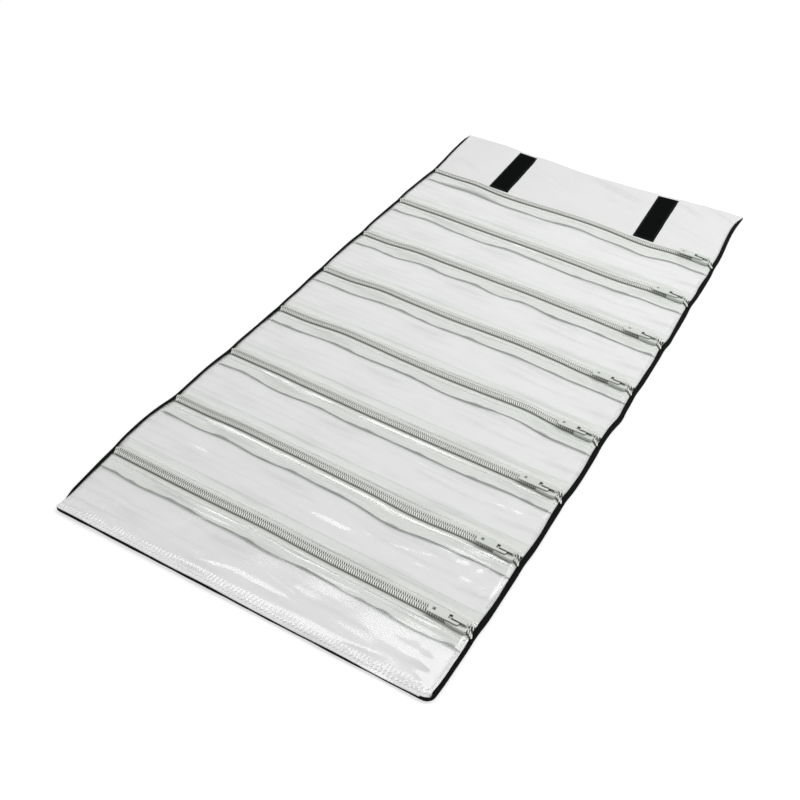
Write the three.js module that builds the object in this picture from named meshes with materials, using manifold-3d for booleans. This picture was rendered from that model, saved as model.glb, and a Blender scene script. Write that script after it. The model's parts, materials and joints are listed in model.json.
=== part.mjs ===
// A roll-up jewelry case: clear zipped pockets in rows on a lined cover, closed by a flap with hook strips.
// Millimetres, +Z up. +X runs along the zippers to their closed ends, +Y from the near edge to the flap.
// The origin is the middle of the underside. Cover and lining are cut into sections at the fold lines,
// so that the case can roll up: section 0 is the flap, and pocket sections count from the flap.

import * as THREE from 'three';
import { mergeVertices } from 'three/addons/utils/BufferGeometryUtils.js';
import Module from 'manifold-3d';

const wasm = await Module();
wasm.setup();

// Points closer than this are one point when a solid is closed.
const weldDistance = 1e-4;

// Outline of the opened case
const rollWidth = 280;
const pocketCount = 8;
const pocketPitch = 62.5;
const nearMargin = 56;
const flapReach = 82;
const cornerRadius = 6;
const cornerSteps = 5;
const curveSteps = 4;

// Layers of sheet
const coverThickness = 0.7;
const liningThickness = 0.5;
const windowThickness = 0.3;
const tapeThickness = 0.5;

// Clearances
const foldGap = 0.2;
const layerGap = 0.15;
const sideGap = 0.3;
const tapeEndGap = 0.5;
const runningGap = 0.3;
const eyeGap = 0.2;

// Hem of the cover, mitred at the folds so that it can close on itself
const sideHemWidth = 3.6;
const nearHemWidth = 2;
const mitreDegrees = 62;

// Zipper chain
const tapeWidth = 15.5;
const seamAllowance = 1.5;
const flapSeamWidth = 6.5;
const chainLift = 1.3;
const jointGap = 1.2;
const coilWidth = 2.3;
const coilHeight = 1.8;
const coilChamfer = 0.5;
const chainSpread = 2.5;

// Pocket window
const pocketRise = 4.2;
const windowSetback = 3;
const windowSlope = 7.5;
const windowFoot = 1;
const footMargin = 1;
const endSlope = 10;

// Slider
const sliderLength = 14.4;
const sliderHeelWidth = 8.2;
const sliderShoulder = 0.5;
const sliderEndInset = 7.4;
const sliderFloor = 0.8;
const sliderRoof = 0.9;
const sliderCorner = 1.4;
const sliderNotch = 1.2;
const flangeThickness = 0.9;
const webLength = 4.5;
const webInset = 1.6;
const bridgeLength = 11;
const bridgeWidth = 2.2;
const bridgeThickness = 0.7;
const bridgeRake = 0.8;
const barOffset = 1;

// Pull tab
const pullLength = 21;
const pullThickness = 1;
const pullArmWidth = 1.7;
const pullArmGap = 0.5;
const pullWindowReach = 1.7;
const pullCorner = 1.2;
const pullHole = 2;
const pullHoleInset = 3.8;
const pullArmTip = 0.3;
const barSides = 16;

// Hook strips on the flap
const hookWidth = 19;
const hookSpacing = 142;
const hookThickness = 1.4;
const hookNearGap = 2;
const hookFarGap = 4;
const hookCorner = 1.5;

// Heights and reaches that follow from the values above
const liningTop = coverThickness + liningThickness;
const endLevel = liningTop + tapeThickness + layerGap;
const lipUnder = endLevel + windowThickness + layerGap;
const lipTop = lipUnder + coverThickness;
const mitre = Math.tan(THREE.MathUtils.degToRad(mitreDegrees));
const rollLength = nearMargin + (pocketCount - 1) * pocketPitch + flapReach;
const halfWidth = rollWidth / 2;
const halfLength = rollLength / 2;
const layerEnd = halfWidth - coverThickness - sideGap;
const hemInner = halfWidth - sideHemWidth - sideGap;
const chainUnder = liningTop + chainLift;
const chainTop = chainUnder + tapeThickness + coilHeight;
const windowUnder = liningTop + pocketRise;
const coilInner = jointGap / 2;
const coilOuter = coilInner + coilWidth;
const flangeInner = coilOuter + runningGap;
const sliderHeel = Math.max(flangeInner + flangeThickness, sliderHeelWidth / 2);
const sliderHalfWidth = sliderHeel + sliderShoulder;
const sliderHome = halfWidth - sliderEndInset - sliderLength / 2;
const chainFlat = sliderHalfWidth + runningGap;
const chainEnd = sliderHome + sliderLength / 2 + runningGap;
const roofUnder = chainTop + runningGap;
const roofTop = roofUnder + sliderRoof;
const eyeHeight = pullThickness + 2 * eyeGap;
const barHeight = roofTop + eyeHeight / 2;
const barX = sliderHome + barOffset;

const coilY = (pocket) => nearMargin + (pocketCount - pocket) * pocketPitch - halfLength;
const seamWidth = (pocket) => (pocket === 1 ? flapSeamWidth : tapeWidth + seamAllowance);
const foldY = (pocket) => coilY(pocket) + seamWidth(pocket);

// The stretch of the case that a section covers, short of the fold lines by half the fold gap.
function sectionSpan(section) {
  const last = section === pocketCount;
  const first = section === 0;
  return {
    near: last ? -halfLength : foldY(section + 1) + foldGap / 2,
    far: first ? halfLength : foldY(section) - foldGap / 2,
    nearIsFold: !last,
    farIsFold: !first,
  };
}

// Colours and finishes
const finishes = {
  cover: { color: 0x131514, roughness: 0.85, metalness: 0 },
  lining: { color: 0xe2e1dd, roughness: 0.8, metalness: 0 },
  window: { color: 0xeef1f2, roughness: 0.12, metalness: 0, transparent: true, opacity: 0.3 },
  zipper: { color: 0xd5d9d3, roughness: 0.75, metalness: 0 },
  slider: { color: 0xd9dad6, roughness: 0.4, metalness: 0.2 },
  hook: { color: 0x101211, roughness: 0.95, metalness: 0 },
};

// Conversion between three.js geometry and the solids that are joined and cut.
function toSolid(geometry) {
  const bare = geometry.index ? geometry.clone() : geometry;
  for (const name of Object.keys(bare.attributes)) {
    if (name !== 'position') bare.deleteAttribute(name);
  }
  const merged = mergeVertices(bare, weldDistance);
  return new wasm.Manifold(new wasm.Mesh({
    numProp: 3,
    vertProperties: new Float32Array(merged.attributes.position.array),
    triVerts: new Uint32Array(merged.index.array),
  }));
}

function toGeometry(solid) {
  const mesh = solid.getMesh();
  const geometry = new THREE.BufferGeometry();
  geometry.setAttribute('position', new THREE.BufferAttribute(mesh.vertProperties, 3));
  geometry.setIndex(new THREE.BufferAttribute(mesh.triVerts, 1));
  geometry.computeVertexNormals();
  return geometry;
}

// A block between two corners.
function block(low, high) {
  const size = high.map((value, axis) => value - low[axis]);
  const geometry = new THREE.BoxGeometry(...size);
  geometry.translate(...low.map((value, axis) => value + size[axis] / 2));
  return toSolid(geometry);
}

// A plan outline raised from one height to another.
function raise(shape, bottom, top) {
  const options = { depth: top - bottom, bevelEnabled: false, curveSegments: curveSteps };
  const geometry = new THREE.ExtrudeGeometry(shape, options);
  geometry.translate(0, 0, bottom);
  return toSolid(geometry);
}

// A side outline of [y, z] points, run along X.
function runAlongX(points, start, end) {
  const shape = new THREE.Shape(points.map(([y, z]) => new THREE.Vector2(y, z)));
  const geometry = new THREE.ExtrudeGeometry(shape, { depth: end - start, bevelEnabled: false });
  const turn = new THREE.Matrix4().makeBasis(
    new THREE.Vector3(0, 1, 0),
    new THREE.Vector3(0, 0, 1),
    new THREE.Vector3(1, 0, 0),
  );
  geometry.applyMatrix4(turn);
  geometry.translate(start, 0, 0);
  return toSolid(geometry);
}

// A rectangle as a plan outline, with its near and far corners rounded where they have a radius.
function rectangle(left, right, near, far, nearRadius, farRadius) {
  const shape = new THREE.Shape();
  const round = (x, y, radius, start) => {
    if (radius > 0) shape.absarc(x, y, radius, start, start + Math.PI / 2, false);
    else shape.lineTo(x, y);
  };
  shape.moveTo(left + nearRadius, near);
  round(right - nearRadius, near + nearRadius, nearRadius, -Math.PI / 2);
  round(right - farRadius, far - farRadius, farRadius, 0);
  round(left + farRadius, far - farRadius, farRadius, Math.PI / 2);
  if (nearRadius > 0) round(left + nearRadius, near + nearRadius, nearRadius, Math.PI);
  return shape;
}

// A closed sheet over a grid of columns and rows. place gives the underside's point at a column and row,
// and thickness its height there. Top and underside share their diagonals, so the sheet never crosses itself.
function sheet(columns, rows, place, thickness) {
  const positions = [];
  const indices = [];
  const layer = columns.length * rows.length;
  for (const side of [0, 1]) {
    for (const row of rows) {
      for (const column of columns) {
        const [x, y, z] = place(column, row);
        positions.push(x, y, z + side * thickness(column, row));
      }
    }
  }
  const corner = (side, row, column) => side * layer + row * columns.length + column;
  const quad = (a, b, c, d) => indices.push(a, b, c, a, c, d);
  const lastRow = rows.length - 1;
  const lastColumn = columns.length - 1;
  for (let row = 0; row < lastRow; row += 1) {
    for (let column = 0; column < lastColumn; column += 1) {
      const around = (side) => [
        corner(side, row, column),
        corner(side, row, column + 1),
        corner(side, row + 1, column + 1),
        corner(side, row + 1, column),
      ];
      const [a, b, c, d] = around(1);
      quad(a, b, c, d);
      const [e, f, g, h] = around(0);
      indices.push(e, g, f, e, h, g);
    }
  }
  for (let column = 0; column < lastColumn; column += 1) {
    quad(corner(0, 0, column), corner(0, 0, column + 1), corner(1, 0, column + 1), corner(1, 0, column));
    quad(corner(0, lastRow, column + 1), corner(0, lastRow, column),
      corner(1, lastRow, column), corner(1, lastRow, column + 1));
  }
  for (let row = 0; row < lastRow; row += 1) {
    quad(corner(0, row + 1, 0), corner(0, row, 0), corner(1, row, 0), corner(1, row + 1, 0));
    quad(corner(0, row, lastColumn), corner(0, row + 1, lastColumn),
      corner(1, row + 1, lastColumn), corner(1, row, lastColumn));
  }
  const geometry = new THREE.BufferGeometry();
  geometry.setAttribute('position', new THREE.Float32BufferAttribute(positions, 3));
  geometry.setIndex(indices);
  return toSolid(geometry);
}

// Height along a broken line of [distance, height] points.
function along(points, distance) {
  const next = points.findIndex(([reach]) => reach >= distance);
  if (next === -1) return points[points.length - 1][1];
  if (next === 0) return points[0][1];
  const [startReach, startHeight] = points[next - 1];
  const [endReach, endHeight] = points[next];
  return THREE.MathUtils.mapLinear(distance, startReach, endReach, startHeight, endHeight);
}

const group = new THREE.Group();

function addPiece(name, solid, finish) {
  const mesh = new THREE.Mesh(toGeometry(solid), new THREE.MeshStandardMaterial(finish));
  mesh.name = name;
  group.add(mesh);
}

// Cover: a base sheet with its side edges turned up and in over the layers that they hold.
function coverSection(section) {
  const { near, far, nearIsFold, farIsFold } = sectionSpan(section);
  const wall = halfWidth - coverThickness;
  const lip = halfWidth - sideHemWidth;
  const profile = new THREE.Shape([
    [-halfWidth, 0], [halfWidth, 0], [halfWidth, lipTop], [lip, lipTop], [lip, lipUnder], [wall, lipUnder],
    [wall, coverThickness], [-wall, coverThickness], [-wall, lipUnder], [-lip, lipUnder], [-lip, lipTop],
    [-halfWidth, lipTop],
  ].map(([x, z]) => new THREE.Vector2(x, z)));
  const geometry = new THREE.ExtrudeGeometry(profile, { depth: far - near, bevelEnabled: false });
  geometry.rotateX(Math.PI / 2);
  geometry.translate(0, far, 0);
  let solid = toSolid(geometry);
  if (nearIsFold) solid = solid.subtract(mitreWedge(near, -1));
  if (farIsFold) solid = solid.subtract(mitreWedge(far, 1));
  if (!nearIsFold) solid = solid.add(nearHem(near));
  for (const side of [-1, 1]) {
    if (!nearIsFold) solid = solid.subtract(cornerCutter(side, -1));
    if (!farIsFold) solid = solid.subtract(cornerCutter(side, 1));
  }
  return solid;
}

// What the hem loses at a fold, above the level that the fold turns at.
function mitreWedge(end, side) {
  const rise = lipTop - liningTop + coverThickness;
  const points = [
    [end + side * coverThickness, liningTop - coverThickness / mitre],
    [end + side * coverThickness, liningTop + rise],
    [end - side * rise * mitre, liningTop + rise],
  ];
  return runAlongX(points, -rollWidth, rollWidth);
}

function nearHem(near) {
  const inside = halfWidth - coverThickness / 2;
  return block([-inside, near, 0], [inside, near + coverThickness, lipTop])
    .add(block([-inside, near, lipUnder], [inside, near + nearHemWidth, lipTop]));
}

// What a round corner takes off the square one. side and end choose the corner.
function cornerCutter(side, end) {
  const beyond = cornerRadius + coverThickness;
  const steps = Array.from({ length: cornerSteps + 1 }, (_, step) => (step / cornerSteps) * (Math.PI / 2));
  const arc = steps.map((angle) => [cornerRadius * Math.cos(angle), cornerRadius * Math.sin(angle)]);
  const points = [[beyond, 0], ...arc, [0, beyond], [beyond, beyond]];
  const shape = new THREE.Shape(points.map(([x, y]) => new THREE.Vector2(side * x, end * y)));
  return raise(shape, -lipTop, 2 * lipTop)
    .translate(side * (halfWidth - cornerRadius), end * (halfLength - cornerRadius), 0);
}

// Lining: a flat sheet inside the hem.
function liningSection(section) {
  const { near, far, nearIsFold, farIsFold } = sectionSpan(section);
  const inset = coverThickness + sideGap;
  const radius = Math.max(cornerRadius - inset, sideGap);
  const outline = rectangle(
    -layerEnd,
    layerEnd,
    nearIsFold ? near : near + inset,
    far,
    nearIsFold ? 0 : radius,
    farIsFold ? 0 : radius,
  );
  return raise(outline, coverThickness, liningTop);
}

// Stations across the case: the ends under the hem, the slopes beside it and the level middle.
const acrossColumns = [
  -layerEnd, -hemInner, -chainEnd, endSlope - hemInner, hemInner - endSlope, chainEnd, hemInner, layerEnd,
];
const endShare = (x) => along([[hemInner - endSlope, 1], [hemInner, 0]], Math.abs(x));

// The zipper chain is level along the slider's run, and drops under the hem at both ends.
const chainLevel = (x) => along([[chainEnd, chainUnder], [hemInner, liningTop]], Math.abs(x));
const overTape = (x) => chainLevel(x) + tapeThickness + layerGap;

// Underside of a pocket window at a distance from its zipper towards the near edge. It is sewn to the lower
// tape at its far side, stands clear of the pocket's floor in the middle, and comes down at its near side.
function windowProfile(pocket) {
  const last = pocket === pocketCount;
  const reach = last
    ? nearMargin - coverThickness - sideGap
    : pocketPitch - seamWidth(pocket + 1) - footMargin;
  const foot = last ? nearHemWidth + sideGap : windowFoot;
  const footLevel = last ? endLevel : liningTop;
  return [
    [chainFlat + windowSetback, chainUnder + tapeThickness + layerGap],
    [chainFlat + windowSetback + windowSlope, windowUnder],
    [reach - foot - windowSlope, windowUnder],
    [reach - foot, footLevel],
    [reach, footLevel],
  ];
}

function pocketWindow(pocket) {
  const profile = windowProfile(pocket);
  const rows = profile.map(([reach]) => reach).reverse();
  const level = (x, reach) => THREE.MathUtils.lerp(endLevel, along(profile, reach), endShare(x));
  const under = (x, reach) => (reach > tapeWidth ? level(x, reach) : Math.max(level(x, reach), overTape(x)));
  return sheet(
    acrossColumns,
    rows,
    (x, reach) => [x, coilY(pocket) - reach, under(x, reach)],
    () => windowThickness,
  );
}

// Zipper stringers: a tape with a bar for its half of the coil. The chain spreads past the closed slider.
const spread = (x) => along([[chainEnd, 0], [hemInner, chainSpread]], x);

function upperTapeUnder(pocket) {
  const reach = seamWidth(pocket) - tapeEndGap;
  if (pocket === 1) {
    return {
      rows: [coilInner, chainFlat, reach],
      under: (x, row) => (row === reach ? liningTop : chainLevel(x)),
    };
  }
  const slopeEnd = tapeWidth - seamAllowance;
  return {
    rows: [coilInner, chainFlat, slopeEnd, tapeWidth],
    under: (x, row) => (row >= slopeEnd ? liningTop : chainLevel(x)),
  };
}

function lowerTapeUnder() {
  return { rows: [coilInner, chainFlat, tapeWidth], under: chainLevel };
}

function stringer(pocket, side) {
  const { rows, under } = side > 0 ? upperTapeUnder(pocket) : lowerTapeUnder();
  const width = rows[rows.length - 1];
  const ordered = (list) => (side > 0 ? list : [...list].reverse());
  const across = (x, row) => coilY(pocket) + side * (row + spread(x) * (1 - row / width));
  const tape = sheet(
    acrossColumns,
    ordered(rows),
    (x, row) => [x, across(x, row), under(x, row)],
    () => tapeThickness,
  );
  const coilRows = [coilInner, coilInner + coilChamfer, coilOuter - coilChamfer, coilOuter];
  const barColumns = acrossColumns.slice(1, -1);
  const barHeightAt = (row) => tapeThickness + coilHeight
    - (row === coilInner || row === coilOuter ? coilChamfer : 0);
  const bar = sheet(
    barColumns,
    ordered(coilRows),
    (x, row) => [x, across(x, row), chainLevel(x)],
    (x, row) => barHeightAt(row),
  );
  return tape.add(bar);
}

// Slider: a floor under the tapes and a flanged roof over the coil, joined by a web in the joint line,
// with a bridge on the roof for the pull tab.
function sliderOutline() {
  const half = sliderLength / 2;
  const outline = new THREE.Shape();
  outline.moveTo(-half, sliderCorner - sliderHeel);
  outline.quadraticCurveTo(-half, -sliderHeel, sliderCorner - half, -sliderHeel);
  outline.lineTo(0, -sliderHalfWidth);
  outline.lineTo(half - sliderCorner, -sliderHalfWidth);
  outline.quadraticCurveTo(half, -sliderHalfWidth, half, sliderCorner - sliderHalfWidth);
  outline.lineTo(half, -sliderNotch);
  outline.lineTo(half - sliderNotch, 0);
  outline.lineTo(half, sliderNotch);
  outline.lineTo(half, sliderHalfWidth - sliderCorner);
  outline.quadraticCurveTo(half, sliderHalfWidth, half - sliderCorner, sliderHalfWidth);
  outline.lineTo(0, sliderHalfWidth);
  outline.lineTo(sliderCorner - half, sliderHeel);
  outline.quadraticCurveTo(-half, sliderHeel, -half, sliderHeel - sliderCorner);
  return outline;
}

function sliderBridge() {
  const half = bridgeLength / 2;
  const inner = half - bridgeThickness - bridgeRake;
  const sunk = -sliderRoof / 2;
  const top = eyeHeight + bridgeThickness;
  const shape = new THREE.Shape([
    [-half, sunk], [-inner, sunk], [-inner, eyeHeight], [inner, eyeHeight], [inner, sunk], [half, sunk],
    [half, 0], [half - bridgeRake, top], [bridgeRake - half, top], [-half, 0],
  ].map(([x, z]) => new THREE.Vector2(x, z)));
  const geometry = new THREE.ExtrudeGeometry(shape, { depth: bridgeWidth, bevelEnabled: false });
  geometry.rotateX(Math.PI / 2);
  geometry.translate(barOffset, bridgeWidth / 2, roofTop);
  return toSolid(geometry);
}

function slider(pocket) {
  const half = sliderLength / 2;
  const floorTop = chainUnder - runningGap;
  const flangeUnder = chainUnder + tapeThickness + runningGap;
  const web = jointGap / 2 - runningGap;
  const webEnd = half - webInset;
  const outline = sliderOutline();
  const channel = block([-sliderLength, -flangeInner, 0], [sliderLength, flangeInner, roofUnder]);
  const solid = raise(outline, flangeUnder, roofTop)
    .subtract(channel)
    .add(raise(outline, floorTop - sliderFloor, floorTop))
    .add(block(
      [webEnd - webLength, -web, floorTop - sliderFloor / 2],
      [webEnd, web, roofUnder + sliderRoof / 2],
    ))
    .add(sliderBridge());
  return solid.translate(sliderHome, coilY(pocket), 0);
}

// Pull tab: a plate with a fork round the bridge, closed by the round bar in the bridge's eye.
function pullTab(pocket) {
  const slotHalf = bridgeWidth / 2 + pullArmGap;
  const half = slotHalf + pullArmWidth;
  const slotEnd = bridgeLength / 2 + pullWindowReach;
  const plate = rectangle(-pullLength, pullArmTip, -half, half, pullCorner, pullCorner);
  const barRadius = pullThickness / 2;
  const bar = new THREE.CylinderGeometry(barRadius, barRadius, 2 * half - pullArmWidth, barSides);
  const lower = barHeight - barRadius;
  const upper = barHeight + barRadius;
  const holeX = pullHoleInset - pullLength;
  const hole = pullHole / 2;
  return raise(plate, lower, upper)
    .subtract(block([-slotEnd, -slotHalf, 0], [pullLength, slotHalf, 2 * upper]))
    .subtract(block([holeX - hole, -hole, 0], [holeX + hole, hole, 2 * upper]))
    .add(toSolid(bar).translate(0, 0, barHeight))
    .translate(barX, coilY(pocket), 0);
}

function hookStrip(side) {
  const near = foldY(1) + hookNearGap;
  const middle = side * hookSpacing / 2;
  const outline = rectangle(
    middle - hookWidth / 2,
    middle + hookWidth / 2,
    near,
    halfLength - hookFarGap,
    hookCorner,
    hookCorner,
  );
  return raise(outline, liningTop, liningTop + hookThickness);
}

for (let section = 0; section <= pocketCount; section += 1) {
  const label = section === 0 ? 'flap' : String(section);
  addPiece(`cover_${label}`, coverSection(section), finishes.cover);
  addPiece(`lining_${label}`, liningSection(section), finishes.lining);
}

for (let pocket = 1; pocket <= pocketCount; pocket += 1) {
  addPiece(`window_${pocket}`, pocketWindow(pocket), finishes.window);
  addPiece(`upper_stringer_${pocket}`, stringer(pocket, 1), finishes.zipper);
  addPiece(`lower_stringer_${pocket}`, stringer(pocket, -1), finishes.zipper);
  addPiece(`slider_${pocket}`, slider(pocket), finishes.slider);
  addPiece(`pull_tab_${pocket}`, pullTab(pocket), finishes.slider);
}

addPiece('hook_strip_left', hookStrip(-1), finishes.hook);
addPiece('hook_strip_right', hookStrip(1), finishes.hook);

export default group;
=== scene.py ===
"""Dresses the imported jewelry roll: cloth, clear vinyl, coil zippers, enamelled sliders and hook tape.

Metres, +Z up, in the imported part's own frame. +X runs along the zippers to their closed ends and
+Y from the near edge to the flap. Section 0 is the flap, and pocket sections count from the flap.
"""

import json
import logging
import math
from collections.abc import Callable
from dataclasses import dataclass
from enum import Enum

import bmesh
import bpy
import numpy as np
from mathutils import Matrix, Vector

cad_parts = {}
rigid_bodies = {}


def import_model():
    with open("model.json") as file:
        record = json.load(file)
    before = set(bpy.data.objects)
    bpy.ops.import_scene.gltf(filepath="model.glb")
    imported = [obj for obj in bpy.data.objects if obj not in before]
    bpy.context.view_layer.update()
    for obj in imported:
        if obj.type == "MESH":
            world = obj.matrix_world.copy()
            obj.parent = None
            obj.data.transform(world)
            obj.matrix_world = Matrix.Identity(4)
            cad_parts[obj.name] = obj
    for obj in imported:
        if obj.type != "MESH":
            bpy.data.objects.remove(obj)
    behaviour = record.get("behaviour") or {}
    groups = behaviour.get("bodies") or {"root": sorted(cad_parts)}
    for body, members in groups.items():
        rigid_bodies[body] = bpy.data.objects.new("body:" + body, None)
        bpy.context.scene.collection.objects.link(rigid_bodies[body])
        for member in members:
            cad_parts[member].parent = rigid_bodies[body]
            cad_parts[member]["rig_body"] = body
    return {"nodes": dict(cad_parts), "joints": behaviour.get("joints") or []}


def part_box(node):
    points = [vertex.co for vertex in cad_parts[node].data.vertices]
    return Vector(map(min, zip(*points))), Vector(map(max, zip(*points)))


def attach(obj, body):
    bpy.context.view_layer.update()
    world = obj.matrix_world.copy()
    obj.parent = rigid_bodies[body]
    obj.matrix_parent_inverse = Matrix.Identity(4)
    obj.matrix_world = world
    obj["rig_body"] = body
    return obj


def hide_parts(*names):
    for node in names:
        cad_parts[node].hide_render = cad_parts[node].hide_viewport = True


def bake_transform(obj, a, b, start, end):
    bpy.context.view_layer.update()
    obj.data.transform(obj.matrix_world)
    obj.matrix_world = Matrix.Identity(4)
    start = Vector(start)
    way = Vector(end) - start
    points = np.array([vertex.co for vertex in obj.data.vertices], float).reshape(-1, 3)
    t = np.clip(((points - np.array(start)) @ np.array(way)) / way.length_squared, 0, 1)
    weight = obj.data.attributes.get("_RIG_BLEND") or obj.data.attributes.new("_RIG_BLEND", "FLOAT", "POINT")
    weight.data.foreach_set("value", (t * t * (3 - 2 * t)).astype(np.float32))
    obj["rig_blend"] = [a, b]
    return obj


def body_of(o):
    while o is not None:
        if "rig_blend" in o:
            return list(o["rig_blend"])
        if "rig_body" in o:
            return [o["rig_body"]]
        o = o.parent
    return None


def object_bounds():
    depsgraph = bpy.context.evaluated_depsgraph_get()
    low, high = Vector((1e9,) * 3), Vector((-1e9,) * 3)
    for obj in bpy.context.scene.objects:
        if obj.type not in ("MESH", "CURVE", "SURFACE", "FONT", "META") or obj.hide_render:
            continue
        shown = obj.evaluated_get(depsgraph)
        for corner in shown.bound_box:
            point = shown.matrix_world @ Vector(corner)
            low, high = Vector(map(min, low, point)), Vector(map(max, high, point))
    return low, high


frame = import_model()
CAD_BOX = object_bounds()

MM = 0.001
Array = np.ndarray
Span = tuple[float, float]
Colour = tuple[float, float, float]
Route = Callable[[Array], Array]
Piece = bpy.types.Object
Material = bpy.types.Material
Node = bpy.types.Node
NodeTree = bpy.types.NodeTree
Socket = bpy.types.NodeSocket
LOG = logging.getLogger("jewelry_roll")


class Slot(Enum):
    """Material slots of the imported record."""

    COVER = "cover"
    LINING = "lining"
    WINDOW = "window"
    ZIPPER = "zipper"
    SLIDER = "slider"
    HOOK = "hook"


class Side(Enum):
    """The two halves of a zipper, by the direction in which each leaves the joint line."""

    UPPER = 1
    LOWER = -1


# Shapes


def ease(place: Array | float, length: Array | float = 1.0) -> Array | float:
    """Smooth step from 0 to 1 over a length."""
    share = np.clip(place / length, 0.0, 1.0)
    return share * share * (3.0 - 2.0 * share)


def bump_at(place: Array | float, middle: float, reach: float) -> Array | float:
    """A soft bump of height 1 round a middle."""
    return np.exp(-(((place - middle) / reach) ** 2))


def soft_top(first: Array, second: Array, blend: float) -> Array:
    """The higher of two surfaces, with the corner where they meet rounded off."""
    return (first + second + np.sqrt((first - second) ** 2 + blend**2) - blend) / 2.0


@dataclass(frozen=True)
class Swell:
    """A soft bulge of an outline, or a hollow where its size is negative."""

    middle: float
    reach: float
    size: float

    def at(self, place: Array | float) -> Array | float:
        """Height of the bulge at a place."""
        return self.size * bump_at(place, self.middle, self.reach)


NO_SWELL = Swell(0.0, 1.0, 0.0)


def swells(*rows: tuple[float, float, float]) -> tuple[Swell, ...]:
    """Swells from rows of middle, reach and size in millimetres."""
    return tuple(Swell(*(value * MM for value in row)) for row in rows)


@dataclass(frozen=True)
class Ripples:
    """Soft waves that cross a sheet, the same on every run.

    Attributes:
        length: Shortest and longest wave in millimetres.
        heading: Range of directions in which the waves run, in degrees from +X.
    """

    seed: int
    count: int
    length: Span
    heading: Span = (0.0, 180.0)

    def at(self, x: Array | float, y: Array | float) -> Array:
        """Height of the waves, about 1 at most.

        Args:
            x: Places along X.
            y: Places along Y.

        Returns:
            The heights.
        """
        draw = np.random.default_rng(self.seed)
        total = np.zeros(np.broadcast(x, y).shape)
        for _ in range(self.count):
            turn = math.radians(draw.uniform(*self.heading))
            beat = 2.0 * math.pi / (MM * draw.uniform(*self.length))
            phase = draw.uniform(0.0, 2.0 * math.pi)
            total = total + np.sin(beat * (math.cos(turn) * x + math.sin(turn) * y) + phase)
        return total / math.sqrt(self.count)

    def along_x(self, x: Array) -> Array:
        """Height of the waves on the line where Y is 0."""
        return self.at(x, np.zeros_like(x))

    def along_y(self, y: Array) -> Array:
        """Height of the waves on the line where X is 0."""
        return self.at(np.zeros_like(y), y)


@dataclass(frozen=True)
class Crease:
    """One ridge of a sheet.

    Attributes:
        heading: Direction in which it runs, in degrees from +X.
    """

    x: float
    y: float
    heading: float
    length: float
    width: float
    size: float

    def at(self, x: Array, y: Array) -> Array:
        """Height of the ridge.

        Args:
            x: Places along X.
            y: Places along Y.

        Returns:
            The heights.
        """
        turn = math.radians(self.heading)
        from_x, from_y = x - self.x, y - self.y
        along = (from_x * math.cos(turn) + from_y * math.sin(turn)) / self.length
        across = (from_y * math.cos(turn) - from_x * math.sin(turn)) / self.width
        return self.size * np.exp(-(across**2) - (2.0 * along) ** 4)


@dataclass(frozen=True)
class Creases:
    """Short sharp ridges scattered over a stretch of sheet, the same on every run.

    Attributes:
        heading: Range of directions in which the ridges run, in degrees from +X.
    """

    seed: int
    count: int
    x_range: Span
    y_range: Span
    length: Span
    width: Span
    heading: Span
    size: Span = (-0.6, 1.0)

    def at(self, x: Array, y: Array) -> Array:
        """Height of the ridges.

        Args:
            x: Places along X.
            y: Places along Y.

        Returns:
            The heights.
        """
        draw = np.random.default_rng(self.seed)
        ranges = (self.x_range, self.y_range, self.heading, self.length, self.width, self.size)
        total = np.zeros(np.broadcast(x, y).shape)
        for _ in range(self.count):
            total = total + Crease(*(draw.uniform(*span) for span in ranges)).at(x, y)
        return total


def linked(name: str, data: bpy.types.ID) -> Piece:
    """Makes an object and links it to the scene."""
    made = bpy.data.objects.new(name, data)
    bpy.context.scene.collection.objects.link(made)
    return made


def grid_faces(rows: int, columns: int) -> Array:
    """Faces of a grid of points that are numbered row by row.

    Args:
        rows: Number of rows.
        columns: Number of points in a row.

    Returns:
        Four point numbers for each face.
    """
    row, column = np.meshgrid(np.arange(rows - 1), np.arange(columns - 1), indexing="ij")
    corner = (row * columns + column).ravel()
    return np.stack([corner, corner + 1, corner + columns + 1, corner + columns], axis=1)


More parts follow.
